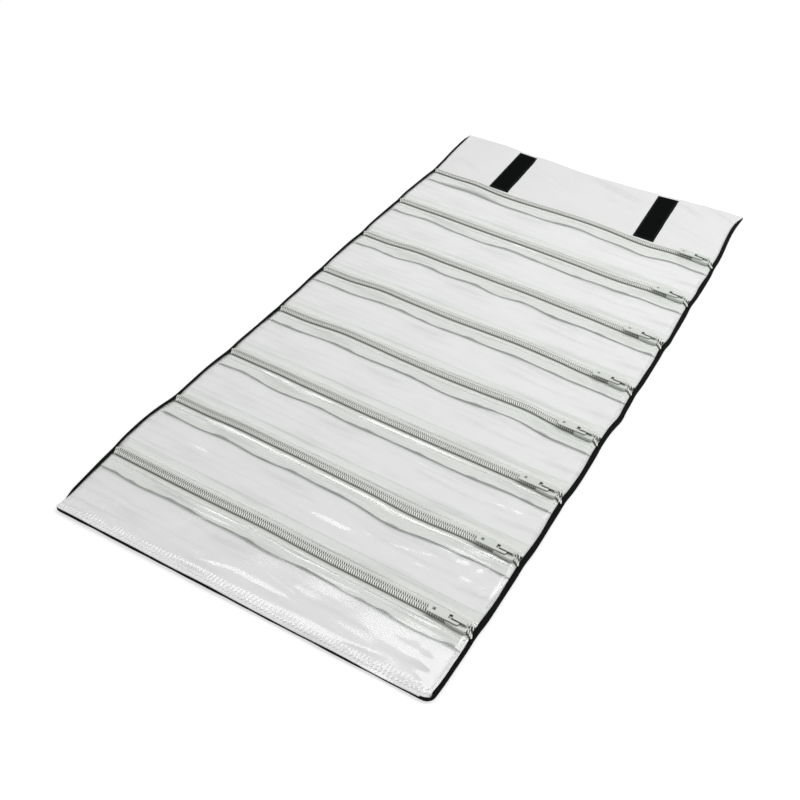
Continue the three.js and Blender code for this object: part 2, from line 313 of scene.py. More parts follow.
@dataclass
class Form:
    """Points and four-sided faces that grow piece by piece into one mesh.

    Attributes:
        plan: Flat place of each point, N by 2.
    """

    points: Array
    faces: Array
    plan: Array

    @classmethod
    def empty(cls) -> "Form":
        """A form with nothing in it."""
        return cls(np.zeros((0, 3)), np.zeros((0, 4), int), np.zeros((0, 2)))

    def add(self, points: Array, faces: Array, plan: Array | None = None) -> None:
        """Adds a piece to the form.

        Args:
            points: Points of the piece, N by 3.
            faces: Four point numbers for each face of the piece.
            plan: Flat place of each point, taken from its X and Y if left out.
        """
        self.faces = np.concatenate([self.faces, faces + len(self.points)])
        self.points = np.concatenate([self.points, points])
        self.plan = np.concatenate([self.plan, points[:, :2] if plan is None else plan])

    def add_sheet(self, top: Array, thickness: float, plan: Array) -> None:
        """Adds a closed sheet under a grid of points.

        Args:
            top: Points of the upper face, rows by columns by 3.
            thickness: How far the lower face lies under it.
            plan: Flat place of each point, rows by columns by 2.
        """
        rows, columns = top.shape[:2]
        layer = rows * columns
        upper = top.reshape(-1, 3)
        lower = upper - np.array([0.0, 0.0, thickness])
        ring = np.concatenate([
            np.arange(columns),
            np.arange(1, rows) * columns + columns - 1,
            (rows - 1) * columns + np.arange(columns - 2, -1, -1),
            np.arange(rows - 2, 0, -1) * columns,
        ])
        following = np.roll(ring, -1)
        rim = np.stack([ring, ring + layer, following + layer, following], axis=1)
        face = grid_faces(rows, columns)
        faces = np.concatenate([face, face[:, ::-1] + layer, rim])
        flat = plan.reshape(-1, 2)
        self.add(np.concatenate([upper, lower]), faces, np.concatenate([flat, flat]))

    def add_sweep(self, rings: Array, plan: Array | None = None) -> None:
        """Adds a closed bar through a row of rings.

        Args:
            rings: Points of each ring, rings by points by 3.
            plan: Flat place of each point, rings by points by 2.
        """
        count, around = rings.shape[:2]
        points = rings.reshape(-1, 3)
        ring, step = np.meshgrid(np.arange(count - 1), np.arange(around), indexing="ij")
        here = (ring * around + step).ravel()
        beside = (ring * around + (step + 1) % around).ravel()
        sides = np.stack([here, beside, beside + around, here + around], axis=1)
        caps = []
        for base, turned in ((0, True), ((count - 1) * around, False)):
            for k in range(1, around // 2):
                quad = [base + k - 1, base + k, base + around - 1 - k, base + around - k]
                caps.append(quad[::-1] if turned else quad)
        faces = np.concatenate([sides, np.array(caps, int).reshape(-1, 4)])
        a, b, c, d = (points[faces[:, k]] for k in range(4))
        looks_in = (a * np.cross(b, c)).sum() + (a * np.cross(c, d)).sum() <= 0.0
        flat = None if plan is None else plan.reshape(-1, 2)
        self.add(points, faces[:, ::-1] if looks_in else faces, flat)

    def add_copies(self, small: "Form", places: Array, turns: Array | float = 0.0) -> None:
        """Adds one small form at many places.

        Args:
            small: The small form.
            places: Where each copy goes, K by 3.
            turns: Turn of each copy about Z, in radians.
        """
        turn = np.broadcast_to(turns, len(places))[:, None]
        cosine, sine = np.cos(turn), np.sin(turn)
        x, y, z = small.points.T
        spun = [x * cosine - y * sine, x * sine + y * cosine, np.tile(z, (len(places), 1))]
        moved = np.stack(spun, axis=2) + places[:, None]
        numbered = small.faces[None] + (np.arange(len(places)) * len(small.points))[:, None, None]
        self.add(moved.reshape(-1, 3), numbered.reshape(-1, 4))

    def build(
        self, name: str, layout: "RollLayout", marks: dict[str, Array] | None = None,
    ) -> Piece:
        """Makes the smooth object of this form, as it lies on the roll, with its plan as UV map.

        Args:
            name: The piece's name.
            layout: Places of the roll.
            marks: Named values of each point.

        Returns:
            The new object.
        """
        mesh = bpy.data.meshes.new(name)
        mesh.from_pydata(layout.lie(self.points).tolist(), [], self.faces.tolist())
        mesh.polygons.foreach_set("use_smooth", [True] * len(mesh.polygons))
        layer = mesh.uv_layers.new(name="Plan")
        corner = np.zeros(len(mesh.loops), np.int32)
        mesh.loops.foreach_get("vertex_index", corner)
        layer.data.foreach_set("uv", np.asarray(self.plan, np.float32)[corner].ravel())
        for mark, values in (marks or {}).items():
            attribute = mesh.attributes.new(mark, "FLOAT", "POINT")
            attribute.data.foreach_set("value", np.asarray(values, np.float32).ravel())
        mesh.update()
        return linked(name, mesh)


def tube(path: Array, wide: Array | float, high: float, sides: int) -> Form:
    """A round bar along a path in the YZ plane.

    Args:
        path: Points of the path as [y, z].
        wide: Half of its width along X, for the whole bar or at each point.
        high: Half of its height across the path.
        sides: Points of each ring.

    Returns:
        The bar as a form.
    """
    tangent = np.gradient(path, axis=0)
    tangent /= np.linalg.norm(tangent, axis=1)[:, None]
    normal = np.stack([-tangent[:, 1], tangent[:, 0]], axis=1)
    angle = np.arange(sides) * 2.0 * math.pi / sides
    x = np.broadcast_to(wide, len(path))[:, None] * np.cos(angle)
    offset = high * np.sin(angle)
    y = path[:, :1] + normal[:, :1] * offset
    z = path[:, 1:] + normal[:, 1:] * offset
    form = Form.empty()
    form.add_sweep(np.stack([x, y, z], axis=2))
    return form


# Where things are


@dataclass(frozen=True)
class RollLayout:
    """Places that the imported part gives, and the outline that the sewn edges follow.

    Attributes:
        coils: Joint line of each zipper.
        folds: Fold line at the far side of each pocket section.
        cut_offset: How far from the joint lines the sheets are cut.
        edge_ease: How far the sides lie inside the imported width.
        near_slant_reach: Where it begins, from the last joint line.
        far_corner: How far its right corner stands out.
        far_rise: Where the edge starts to rise to that corner, and over what length.
        strip_slips: How far each hook strip is sewn to the right of its place at its near end.
        strip_leans: How much further to the right at its far end.
    """

    half_width: float
    half_length: float
    coils: tuple[float, ...]
    folds: tuple[float, ...]
    lining_top: float
    hem_top: float
    coil_top: float
    window_top: float
    slider_end: float
    cut_offset: float = 8.0 * MM
    near_left_radius: float = 2.5 * MM
    near_right_radius: float = 6.5 * MM
    far_radius: float = 0.8 * MM
    edge_ease: float = 0.5 * MM
    zipper_pull: float = 0.6 * MM
    pull_reach: float = 9.0 * MM
    edge_wander: float = 0.3 * MM
    right_swells: tuple[Swell, ...] = swells(
        (275.0, 50.0, -4.4), (88.0, 8.0, 0.7), (20.0, 150.0, 1.5), (-13.0, 8.0, 0.8),
        (-31.0, 10.0, -0.7), (-265.0, 45.0, -1.2), (-292.0, 16.0, -1.5),
    )
    left_swells: tuple[Swell, ...] = swells(
        (285.0, 30.0, 1.6), (212.0, 26.0, -1.4), (-45.0, 50.0, -1.4),
        (-205.0, 38.0, 3.3), (-292.0, 26.0, -3.6),
    )
    chain_bows: tuple[tuple[Swell, ...], ...] = (
        swells((-113.0, 26.0, 5.2), (-55.0, 40.0, -2.2), (15.0, 30.0, 1.2), (75.0, 25.0, -2.6)),
        swells((-120.0, 30.0, 2.0), (75.0, 40.0, -1.8)),
        swells((-120.0, 50.0, 4.9), (0.0, 80.0, 2.9)),
        swells((-120.0, 80.0, 4.8), (40.0, 50.0, 3.2)),
        swells((-100.0, 80.0, 3.6), (80.0, 50.0, 2.9)),
        swells((-120.0, 30.0, 1.8), (0.0, 80.0, -0.9)),
        swells((-140.0, 120.0, 1.9), (60.0, 30.0, -2.0)),
        swells((-140.0, 30.0, 1.1), (-20.0, 30.0, 1.0)),
    )
    near_slant: float = 0.021
    near_slant_reach: float = 16.0 * MM
    far_hollow: Swell = Swell(-15.0 * MM, 50.0 * MM, -2.4 * MM)
    far_corner: float = 9.0 * MM
    far_rise: Span = (15.0 * MM, 110.0 * MM)
    strip_slips: Span = (-0.6 * MM, -0.3 * MM)
    strip_leans: Span = (-2.3 * MM, -3.6 * MM)
    strip_near: float = 2.2 * MM

    @classmethod
    def read(cls) -> "RollLayout":
        """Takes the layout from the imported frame."""
        joints = {joint["name"]: joint for joint in frame["joints"]}
        count = sum(name.startswith("fold_") for name in joints)
        numbers = range(1, count + 1)
        sliders = [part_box(f"slider_{n}") for n in numbers]
        return cls(
            half_width=CAD_BOX[1].x,
            half_length=CAD_BOX[1].y,
            coils=tuple((low.y + high.y) / 2.0 for low, high in sliders),
            folds=tuple(joints[f"fold_{n}"]["pos_m"][1] for n in numbers),
            lining_top=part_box("lining_1")[1].z,
            hem_top=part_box("cover_1")[1].z,
            coil_top=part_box("upper_stringer_1")[1].z,
            window_top=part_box("window_1")[1].z,
            slider_end=sliders[0][1].x,
        )

    @property
    def pockets(self) -> int:
        """Number of pockets."""
        return len(self.coils)

    def coil(self, pocket: int) -> float:
        """Joint line of a pocket's zipper."""
        return self.coils[pocket - 1]

    def fold(self, section: int) -> float:
        """Fold line at the far side of a pocket section."""
        return self.folds[section - 1]

    def body(self, section: int) -> str:
        """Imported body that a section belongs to."""
        return "flap" if section == 0 else f"panel_{section}"

    def label(self, section: int) -> str:
        """Ending of a section's node names."""
        return "flap" if section == 0 else str(section)

    def span(self, section: int) -> Span:
        """Stretch of Y that a section's sheets cover, cut under the lower tapes, where no cut shows.

        Args:
            section: Number of the section.

        Returns:
            The near and the far end.
        """
        last = section == self.pockets
        near = -self.half_length if last else self.coil(section + 1) - self.cut_offset
        far = self.half_length if section == 0 else self.coil(section) - self.cut_offset
        return near, far

    def near_radius(self, side: int) -> float:
        """Radius of a near corner."""
        return self.near_right_radius if side > 0 else self.near_left_radius

    def edge(self, y: Array, side: int, inset: Array | float = 0.0) -> Array:
        """Half width of the roll as it lies, drawn in a little at the zipper ends.

        Args:
            y: Places along the roll.
            side: 1 for right and -1 for left.
            inset: How far inside the edge.

        Returns:
            The half width at each place.
        """
        width = self.half_width - self.edge_ease + np.zeros_like(y)
        for swell in self.right_swells if side > 0 else self.left_swells:
            width = width + swell.at(y)
        for coil in self.coils:
            width = width - self.zipper_pull * bump_at(y, coil, self.pull_reach)
        wander = Ripples(40 + side, 5, length=(30.0, 110.0), heading=(80.0, 100.0))
        width = width + self.edge_wander * wander.along_y(y) - inset
        for end, radius in ((-1, self.near_radius(side)), (1, self.far_radius)):
            depth = np.clip(radius - (self.half_length - inset - end * y), 0.0, radius)
            width = width - (radius - np.sqrt(radius**2 - depth**2))
        return width

    def spread_over(self, y: Array, share: Array, inset: Callable[[Array, int], Array]) -> Array:
        """Spreads points over the width of the roll.

        Args:
            y: Places along the roll.
            share: Places across it, from -1 at the left side to 1 at the right one.
            inset: Gives how far inside the edge the outermost points lie, from places and a side.

        Returns:
            The X of each point, one row for each place.
        """
        right = self.edge(y, 1, inset(y, 1))[:, None]
        left = self.edge(y, -1, inset(y, -1))[:, None]
        return np.where(share > 0.0, share * right, share * left)

    def strip_box(self, side: int) -> tuple[Vector, Vector]:
        """Low and high corner of a hook strip, which reaches to the first zipper's tape."""
        low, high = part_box("hook_strip_left" if side < 0 else "hook_strip_right")
        return Vector((low.x, low.y - self.strip_near, low.z)), high

    def strip_shift(self, y: Array, side: int) -> Array:
        """How far a hook strip is sewn to the right of its place."""
        low, high = self.strip_box(side)
        return self.strip_slips[side > 0] + self.strip_leans[side > 0] * (y - low.y) / (high.y - low.y)

    def lie(self, points: Array) -> Array:
        """Moves points along Y to the slant and the bow of the two end edges, as the roll lies.

        Args:
            points: Points, N by 3.

        Returns:
            The moved points.
        """
        x, y = points[:, 0], points[:, 1]
        most = 1.2
        near_start = self.coil(self.pockets) - self.near_slant_reach
        near_share = np.clip((near_start - y) / (near_start + self.half_length), 0.0, most)
        far_share = np.clip((y - self.fold(1)) / (self.half_length - self.fold(1)), 0.0, most)
        start, length = self.far_rise
        far_shift = self.far_hollow.at(x) + self.far_corner * ease(x - start, length)
        moved = points.copy()
        moved[:, 1] += near_share * self.near_slant * x + far_share * far_shift
        return moved


@dataclass(frozen=True)
class Hem:
    """The cover's turned edge: how wide its lip shows and how high it stands.

    Attributes:
        zipper_lip: How much wider the left lip is at the zipper ends.
        low: Height of the hem where the lining covers it.
        covered: How far the lining's edge stands over the near hem.
        near_rise: Length over which the lining climbs to the near edge.
    """

    layout: RollLayout
    thickness: float = 0.6 * MM
    right_lip: float = 3.2 * MM
    right_swell: Swell = Swell(-262.0 * MM, 30.0 * MM, -0.9 * MM)
    left_lip: float = 1.85 * MM
    zipper_lip: float = 0.6 * MM
    wander: float = 0.3 * MM
    low: float = 0.7 * MM
    covered: float = 0.2 * MM
    near_left: float = 3.4 * MM
    near_right: float = 2.4 * MM
    near_wave: float = 0.3 * MM
    near_rise: float = 6.0 * MM

    def show(self, y: Array, side: int) -> Array:
        """Share of the lip that shows, which runs out towards the corners.

        Args:
            y: Places along the roll.
            side: 1 for right and -1 for left.

        Returns:
            The share at each place.
        """
        from_near = y + self.layout.half_length
        from_far = self.layout.half_length - y
        if side > 0:
            return ease(from_near + 16.0 * MM, 24.0 * MM) * ease(from_far + 18.0 * MM, 48.0 * MM)
        to_far = ease(from_far + 45.0 * MM, 135.0 * MM) * ease(from_far - 1.0 * MM, 4.0 * MM)
        return ease(from_near - 3.0 * MM, 28.0 * MM) * to_far

    def lip(self, y: Array, side: int) -> Array:
        """Width of a side's lip.

        Args:
            y: Places along the roll.
            side: 1 for right and -1 for left.

        Returns:
            The width at each place.
        """
        wander = Ripples(60 + side, 5, length=(12.0, 60.0), heading=(80.0, 100.0))
        full = self.right_lip + self.right_swell.at(y) if side > 0 else self.left_lip
        if side < 0:
            ends = (bump_at(y, coil - 8.0 * MM, 11.0 * MM) for coil in self.layout.coils)
            full = full + sum(self.zipper_lip * end for end in ends)
        return self.show(y, side) * (full + self.wander * wander.along_y(y))

    def height(self, y: Array, side: int) -> Array:
        """Height of a side's hem, which goes down to the far corners."""
        to_corner = ease(self.layout.half_length - y + 2.0 * MM, 16.0 * MM)
        return self.low + (self.layout.hem_top - self.low) * ease(2.0 * self.show(y, side)) * to_corner

    def near_height(self, x: Array) -> Array:
        """Height of the near edge.

        Args:
            x: Places along X.

        Returns:
            The heights.
        """
        wave = Ripples(83, 4, length=(45.0, 130.0), heading=(0.0, 5.0))
        slope = (self.near_right - self.near_left) * ease(x + 60.0 * MM, 120.0 * MM)
        return self.near_left + slope + self.near_wave * wave.along_x(x)

    def near_climb(self, y: Array) -> Array:
        """Share of the near edge's height that the lining has climbed to."""
        return ease(self.near_rise - self.layout.half_length - y, self.near_rise)

    def inset(self, y: Array, side: int) -> Array:
        """How far inside the edge a sheet ends that is tucked under the lip, or lies over a hidden one."""
        return 0.12 * MM + 0.9 * MM * ease(3.0 * self.show(y, side))


def stations(start: float, end: float, step: float, crowd: float = 0.0) -> Array:
    """Evenly spaced places, with more of them next to the ends where asked.

    Args:
        start: First place.
        end: Last place.
        step: About how far apart they are.
        crowd: Length at both ends that gets four times as many.

    Returns:
        The places in rising order.
    """
    places = np.linspace(start, end, max(2, round((end - start) / step) + 1))
    if crowd > 0.0:
        fine = np.linspace(0.0, crowd, max(2, round(4.0 * crowd / step)))
        places = np.unique(np.round(np.concatenate([places, start + fine, end - fine]), 6))
    return places


def settle(piece: Piece, layout: RollLayout, section: int, bend: float = 4.0 * MM) -> None:
    """Makes a sheet bend at the fold line at its near side, or ride on its section where there is none.

    Args:
        piece: The sheet.
        layout: Places of the roll.
        section: Section that the sheet begins on.
        bend: Length of sheet on each side of the fold line that bends.
    """
    if section == layout.pockets:
        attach(piece, layout.body(section))
        return
    line = layout.fold(section + 1)
    start = (0.0, line + bend, layout.lining_top)
    end = (0.0, line - bend, layout.lining_top)
    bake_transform(piece, layout.body(section), layout.body(section + 1), start, end)


def dress(piece: Piece, finish: Material) -> None:
    """Gives a piece its finish."""
    piece.data.materials.clear()
    piece.data.materials.append(finish)


# Finishes


@dataclass
class Graph:
    """A node tree that is being wired.

    Attributes:
        vector: Coordinates that its patterns are laid out on.
    """

    tree: NodeTree
    effects: "Effects | None" = None
    vector: Socket | None = None

    def add(self, kind: str, inputs: dict | None = None, **settings: object) -> Node:
        """Adds a node.

        Args:
            kind: Type of the node.
            inputs: Value or link of each named or numbered input.
            **settings: Properties of the node.

        Returns:
            The new node.
        """
        node = self.tree.nodes.new(kind)
        for name, value in settings.items():
            setattr(node, name, value)
        self.wire(node, inputs or {})
        return node

    def wire(self, node: Node, inputs: dict) -> None:
        """Sets or links inputs of a node.

        Args:
            node: The node.
            inputs: Value or link of each named or numbered input.
        """
        for key, value in inputs.items():
            if isinstance(value, Socket):
                self.tree.links.new(value, node.inputs[key])
            else:
                node.inputs[key].default_value = value

    def math(self, operation: str, *values: object) -> Socket:
        """Result of a math node."""
        return self.add("ShaderNodeMath", dict(enumerate(values)), operation=operation).outputs[0]

    def blend(self, share: object, first: object, second: object) -> Socket:
        """Mix of two colours."""
        return self.add("ShaderNodeMix", {0: share, 6: first, 7: second}, data_type="RGBA").outputs[2]

    def bump(self, height: Socket, distance: float) -> Socket:
        """Normal of a surface whose grain stands out by a distance."""
        inputs = {"Strength": 1.0, "Distance": distance, "Height": height}
        return self.add("ShaderNodeBump", inputs).outputs[0]


class Effects:
    """Shader node groups that several finishes share, each built once."""

    def __init__(self) -> None:
        """Builds the groups."""
        self.weave = self._weave()
        self.mottle = self._mottle()
        self.crinkle = self._crinkle()

    @staticmethod
    def _group(name: str, output: str, **values: float) -> tuple[Graph, Node, Node]:
        """Starts a group with a vector input, value inputs and one value output.

        Args:
            name: Name of the group.
            output: Name of its output.
            **values: Starting value of each value input.

        Returns:
            Its graph, its input node and its output node.
        """
        tree = bpy.data.node_groups.new(name, "ShaderNodeTree")
        tree.interface.new_socket("Vector", in_out="INPUT", socket_type="NodeSocketVector")
        for label, value in values.items():
            socket = tree.interface.new_socket(label, in_out="INPUT", socket_type="NodeSocketFloat")
            socket.default_value = value
        tree.interface.new_socket(output, in_out="OUTPUT", socket_type="NodeSocketFloat")
        graph = Graph(tree)
        return graph, graph.add("NodeGroupInput"), graph.add("NodeGroupOutput")

    def _weave(self) -> NodeTree:
        """Threads that pass over and under each other, as a height.

        Returns:
            The group.
        """
        graph, given, result = self._group("Weave", "Height", Threads=1000.0)
        inputs = {0: given.outputs["Vector"], 3: given.outputs["Threads"]}
        scaled = graph.add("ShaderNodeVectorMath", inputs, operation="SCALE")
        parts = graph.add("ShaderNodeSeparateXYZ", {0: scaled.outputs[0]})
        ridges, cells = [], []
        for axis in (0, 1):
            turned = graph.math("MULTIPLY", parts.outputs[axis], math.pi)
            ridges.append(graph.math("ABSOLUTE", graph.math("SINE", turned)))
            cells.append(graph.math("FLOOR", parts.outputs[axis]))
        over = graph.math("PINGPONG", graph.math("ADD", *cells), 1.0)
        crowned = []
        for ridge, other in (ridges, ridges[::-1]):
            crowned.append(graph.math("MULTIPLY", ridge, graph.math("MULTIPLY_ADD", other, 0.5, 0.5)))
        height = graph.add("ShaderNodeMix", {0: over, 2: crowned[0], 3: crowned[1]})
        graph.wire(result, {"Height": height.outputs[0]})
        return graph.tree

    def _mottle(self) -> NodeTree:
        """Soft uneven patches, as a factor round 1.

        Returns:
            The group.
        """
        graph, given, result = self._group("Mottle", "Factor", Scale=40.0, Amount=0.05)
        inputs = {name: given.outputs[name] for name in ("Vector", "Scale")}
        noise = graph.add("ShaderNodeTexNoise", inputs | {"Detail": 5.0, "Roughness": 0.6})
        centred = graph.math("SUBTRACT", noise.outputs["Fac"], 0.5)
        doubled = graph.math("MULTIPLY", given.outputs["Amount"], 2.0)
        graph.wire(result, {"Factor": graph.math("MULTIPLY_ADD", centred, doubled, 1.0)})
        return graph.tree

    def _crinkle(self) -> NodeTree:
        """Fine creases that are drawn out along the zippers, as a height.

        Returns:
            The group.
        """
        graph, given, result = self._group("Crinkle", "Height", Scale=60.0, Stretch=0.3)
        shape = graph.add("ShaderNodeCombineXYZ", {0: given.outputs["Stretch"], 1: 1.0, 2: 1.0})
        inputs = {0: given.outputs["Vector"], 1: shape.outputs[0]}
        drawn = graph.add("ShaderNodeVectorMath", inputs, operation="MULTIPLY")
        inputs = {"Vector": drawn.outputs[0], "Scale": given.outputs["Scale"]}
        noise = graph.add("ShaderNodeTexNoise", inputs | {"Detail": 3.0, "Roughness": 0.5, "Distortion": 0.6})
        graph.wire(result, {"Height": noise.outputs["Fac"]})
        return graph.tree


class Coordinates(Enum):
    """What a finish's pattern is laid out on."""

    PLAN = "UV"
    PART = "Object"


@dataclass(frozen=True)
class Finish:
    """What every finish has, with the scales of its patterns to a metre."""

    name: str
    colour: Colour
    roughness: float
    specular: float = 0.5
    mottle_scale: float = 40.0
    mottle: float = 0.05
    coordinates: Coordinates = Coordinates.PLAN

    def build(self, effects: Effects) -> Material:
        """Makes the material.

        Args:
            effects: Shared node groups.

        Returns:
            The material.
        """
        material = bpy.data.materials.new(self.name)
        material.use_nodes = True
        material.diffuse_color = (*self.colour, 1.0)
        graph = Graph(material.node_tree, effects)
        graph.vector = graph.add("ShaderNodeTexCoord").outputs[self.coordinates.value]
        shader = material.node_tree.nodes["Principled BSDF"]
        plain = {"Roughness": self.roughness, "Specular IOR Level": self.specular}
        graph.wire(shader, {"Base Color": (*self.colour, 1.0)} | plain)
        graph.wire(shader, self.surface(graph))
        return material

    def surface(self, graph: Graph) -> dict[str, object]:
        """What the finish puts into its shader, which each kind adds to."""
        return {"Base Color": self.patched(graph)}

    def patched(self, graph: Graph) -> Socket:
        """The base colour with uneven patches.

        Args:
            graph: Graph of the material.

        Returns:
            The colour.
        """
        inputs = {"Vector": graph.vector, "Scale": self.mottle_scale, "Amount": self.mottle}
        patches = graph.add("ShaderNodeGroup", inputs, node_tree=graph.effects.mottle)
        inputs = {0: self.colour, 3: patches.outputs["Factor"]}
        return graph.add("ShaderNodeVectorMath", inputs, operation="SCALE").outputs[0]


@dataclass(frozen=True)
class ClothFinish(Finish):
    """Woven cloth or tape.

    Attributes:
        threads: Threads to a metre.
        shade_colour: Colour of the painted shade that the shade mark lays on, or None.
    """

    threads: float = 2000.0
    depth: float = 0.00008
    gap_shade: float = 0.25
    sheen: float = 0.1
    shade_colour: Colour | None = None

    def surface(self, graph: Graph) -> dict[str, object]:
        """What woven cloth puts into its shader.

        Args:
            graph: Graph of the material.

        Returns:
            Value or link of each named input.
        """
        inputs = {"Vector": graph.vector, "Threads": self.threads}
        height = graph.add("ShaderNodeGroup", inputs, node_tree=graph.effects.weave).outputs["Height"]
        gap = graph.math("MULTIPLY", graph.math("SUBTRACT", 1.0, height), self.gap_shade)
        colour = graph.blend(gap, self.patched(graph), (0.0, 0.0, 0.0, 1.0))
        # Painted shade: the shade mark blends the colour towards the shade colour where shade falls
        if self.shade_colour is not None:
            mark = graph.add("ShaderNodeAttribute", attribute_name="shade").outputs["Fac"]
            colour = graph.blend(mark, colour, (*self.shade_colour, 1.0))
        return {"Base Color": colour, "Normal": graph.bump(height, self.depth), "Sheen Weight": self.sheen}


@dataclass(frozen=True)
class HardFinish(Finish):
    """Moulded plastic or enamel with a fine uneven skin, and painted shade in its recesses where asked.

    Attributes:
        crevice_reach: Distance over which nearby faces lay painted shade on it, or 0 for none.
        crevice_open: Shares of open sky at which that painted shade starts and is full.
    """

    coat: float = 0.0
    grain_scale: float = 900.0
    grain: float = 0.00001
    rough_spread: float = 0.1
    painted_shade_colour: Colour | None = None
    crevice_reach: float = 0.0
    crevice_open: Span = (0.72, 0.36)

    def surface(self, graph: Graph) -> dict[str, object]:
        """What plastic or enamel puts into its shader.

        Args:
            graph: Graph of the material.

        Returns:
            Value or link of each named input.
        """
        colour = self.patched(graph)
        # Painted shade: marked recesses, and places that nearby faces hide from the sky, take the painted
        # shade colour
        if self.painted_shade_colour is not None:
            mark = graph.add("ShaderNodeAttribute", attribute_name="recess").outputs["Fac"]
            if self.crevice_reach > 0.0:
                nearby = graph.add("ShaderNodeAmbientOcclusion", {"Distance": self.crevice_reach}, samples=12)
                start, full = self.crevice_open
                hidden = graph.add("ShaderNodeMapRange", {0: nearby.outputs["AO"], 1: start, 2: full})
                mark = graph.math("MAXIMUM", mark, hidden.outputs[0])
            colour = graph.blend(mark, colour, (*self.painted_shade_colour, 1.0))
        inputs = {"Vector": graph.vector, "Scale": self.grain_scale, "Detail": 3.0}
        grains = graph.add("ShaderNodeTexNoise", inputs).outputs["Fac"]
        smoothest = self.roughness - self.rough_spread / 2.0
        return {
            "Base Color": colour,
            "Normal": graph.bump(grains, self.grain),
            "Roughness": graph.math("MULTIPLY_ADD", grains, self.rough_spread, smoothest),
            "Coat Weight": self.coat,
        }


@dataclass(frozen=True)
class VinylFinish(Finish):
    """Clear flexible vinyl, which shows most where it turns away or is doubled.

    Attributes:
        veil: Share of the light that the vinyl itself throws back, seen straight on.
        edge_veil: The same where it is seen at a glance.
        doubled: Added share where it is turned under.
        shadow: Share of lamp light that it holds back.
        glance: How early the veil thickens as the vinyl turns away.
        ior: Index of refraction, raised to make up for the thin veil that carries the reflections.
        streak_range: Heights of the pattern at which a painted grey streak, the shade of the vinyl's fine
            wrinkles, starts and is full.
    """

    veil: float = 0.16
    edge_veil: float = 0.5
    doubled: float = 0.08
    shadow: float = 0.05
    glance: float = 0.35
    crinkle: float = 0.00004
    crinkle_scale: float = 90.0
    crinkle_stretch: float = 0.25
    ior: float = 2.25
    coat_roughness: float = 0.06
    streak_colour: Colour = (0.44, 0.46, 0.45)
    streak_veil: float = 0.08
    streak_scale: float = 240.0
    streak_stretch: float = 0.06
    streak_range: Span = (0.5, 0.72)

    def surface(self, graph: Graph) -> dict[str, object]:
        """What vinyl puts into its shader.

        Args:
            graph: Graph of the material.

        Returns:
            Value or link of each named input.
        """
        heights = []
        crinkles = (self.crinkle_scale, self.crinkle_stretch)
        for scale, stretch in (crinkles, (self.streak_scale, self.streak_stretch)):
            inputs = {"Vector": graph.vector, "Scale": scale, "Stretch": stretch}
            drawn = graph.add("ShaderNodeGroup", inputs, node_tree=graph.effects.crinkle)
            heights.append(drawn.outputs["Height"])
        normal = graph.bump(heights[0], self.crinkle)
        # Painted shade: grey streaks drawn out along the zippers, standing in for the shade of the vinyl's
        # fine wrinkles
        least, full = self.streak_range
        streak = graph.add("ShaderNodeMapRange", {0: heights[1], 1: least, 2: full}).outputs[0]
        weight = graph.add("ShaderNodeLayerWeight", {"Blend": self.glance, "Normal": normal})
        mark = graph.add("ShaderNodeAttribute", attribute_name="doubled").outputs["Fac"]
        seen = graph.math("MULTIPLY_ADD", weight.outputs["Facing"], self.edge_veil, self.veil)
        seen = graph.math("MULTIPLY_ADD", mark, self.doubled, seen)
        seen = graph.math("MULTIPLY_ADD", streak, self.streak_veil, seen)
        shadow_ray = graph.add("ShaderNodeLightPath").outputs["Is Shadow Ray"]
        return {
            "Base Color": graph.blend(streak, (*self.colour, 1.0), (*self.streak_colour, 1.0)),
            "Normal": normal,
            "Alpha": graph.add("ShaderNodeMix", {0: shadow_ray, 2: seen, 3: self.shadow}).outputs[0],
            "IOR": self.ior,
            "Coat Weight": 1.0,
            "Coat Roughness": self.coat_roughness,
        }


@dataclass
class Wardrobe:
    """Every finish of the roll, built once."""

    cover: Material
    lining: Material
    vinyl: Material
    tape: Material
    coil: Material
    enamel: Material
    hook: Material
    loop: Material
    thread: Material
    dark_thread: Material

    @classmethod
    def make(cls) -> "Wardrobe":
        """Builds the shared effects and all finishes."""
        effects = Effects()
        part = Coordinates.PART
        cover = ClothFinish(
            "cover_cloth", (0.006, 0.0066, 0.0064), 0.9, specular=0.08, mottle=0.3,
            threads=2600.0, depth=0.0001, sheen=0.0,
        )
        lining = ClothFinish(
            "lining_cloth", (0.8, 0.8, 0.798), 0.7, specular=0.2, mottle=0.03,
            threads=4200.0, depth=0.00002, gap_shade=0.04, shade_colour=(0.5, 0.5, 0.5),
        )
        vinyl = VinylFinish("clear_vinyl", (0.86, 0.87, 0.87), 0.12)
        tape = ClothFinish(
            "zipper_tape", (0.72, 0.745, 0.705), 0.75, specular=0.25, mottle=0.04,
            threads=1700.0, depth=0.00003, gap_shade=0.08, shade_colour=(0.13, 0.14, 0.13),
        )
        # Coil: painted shade on marked teeth and cord, and where nearby faces such as the pull tab hide it
        coil = HardFinish(
            "zipper_coil", (0.84, 0.86, 0.815), 0.3, mottle=0.08, coordinates=part,
            painted_shade_colour=(0.03, 0.033, 0.03), crevice_reach=4.0 * MM, crevice_open=(0.4, 0.2),
        )
        # Slider and pull: painted shade in their crevices
        enamel = HardFinish(
            "slider_enamel", (0.64, 0.665, 0.63), 0.36, mottle=0.06, coordinates=part, coat=0.15,
            painted_shade_colour=(0.012, 0.013, 0.012), crevice_reach=2.0 * MM,
        )
        hook = HardFinish(
            "hook_tape", (0.003, 0.004, 0.0037), 0.9, specular=0.04, mottle=0.3, coordinates=part,
        )
        loop = ClothFinish(
            "loop_tape", (0.006, 0.0068, 0.0065), 0.95, specular=0.08, mottle=0.4,
            threads=1500.0, depth=0.0003, sheen=0.05,
        )
        thread = HardFinish("pale_thread", (0.95, 0.95, 0.945), 0.4, coordinates=part)
        dark_thread = HardFinish("dark_thread", (0.03, 0.033, 0.032), 0.6, specular=0.2, coordinates=part)
        made = (cover, lining, vinyl, tape, coil, enamel, hook, loop, thread, dark_thread)
        return cls(*(finish.build(effects) for finish in made))


# Pieces


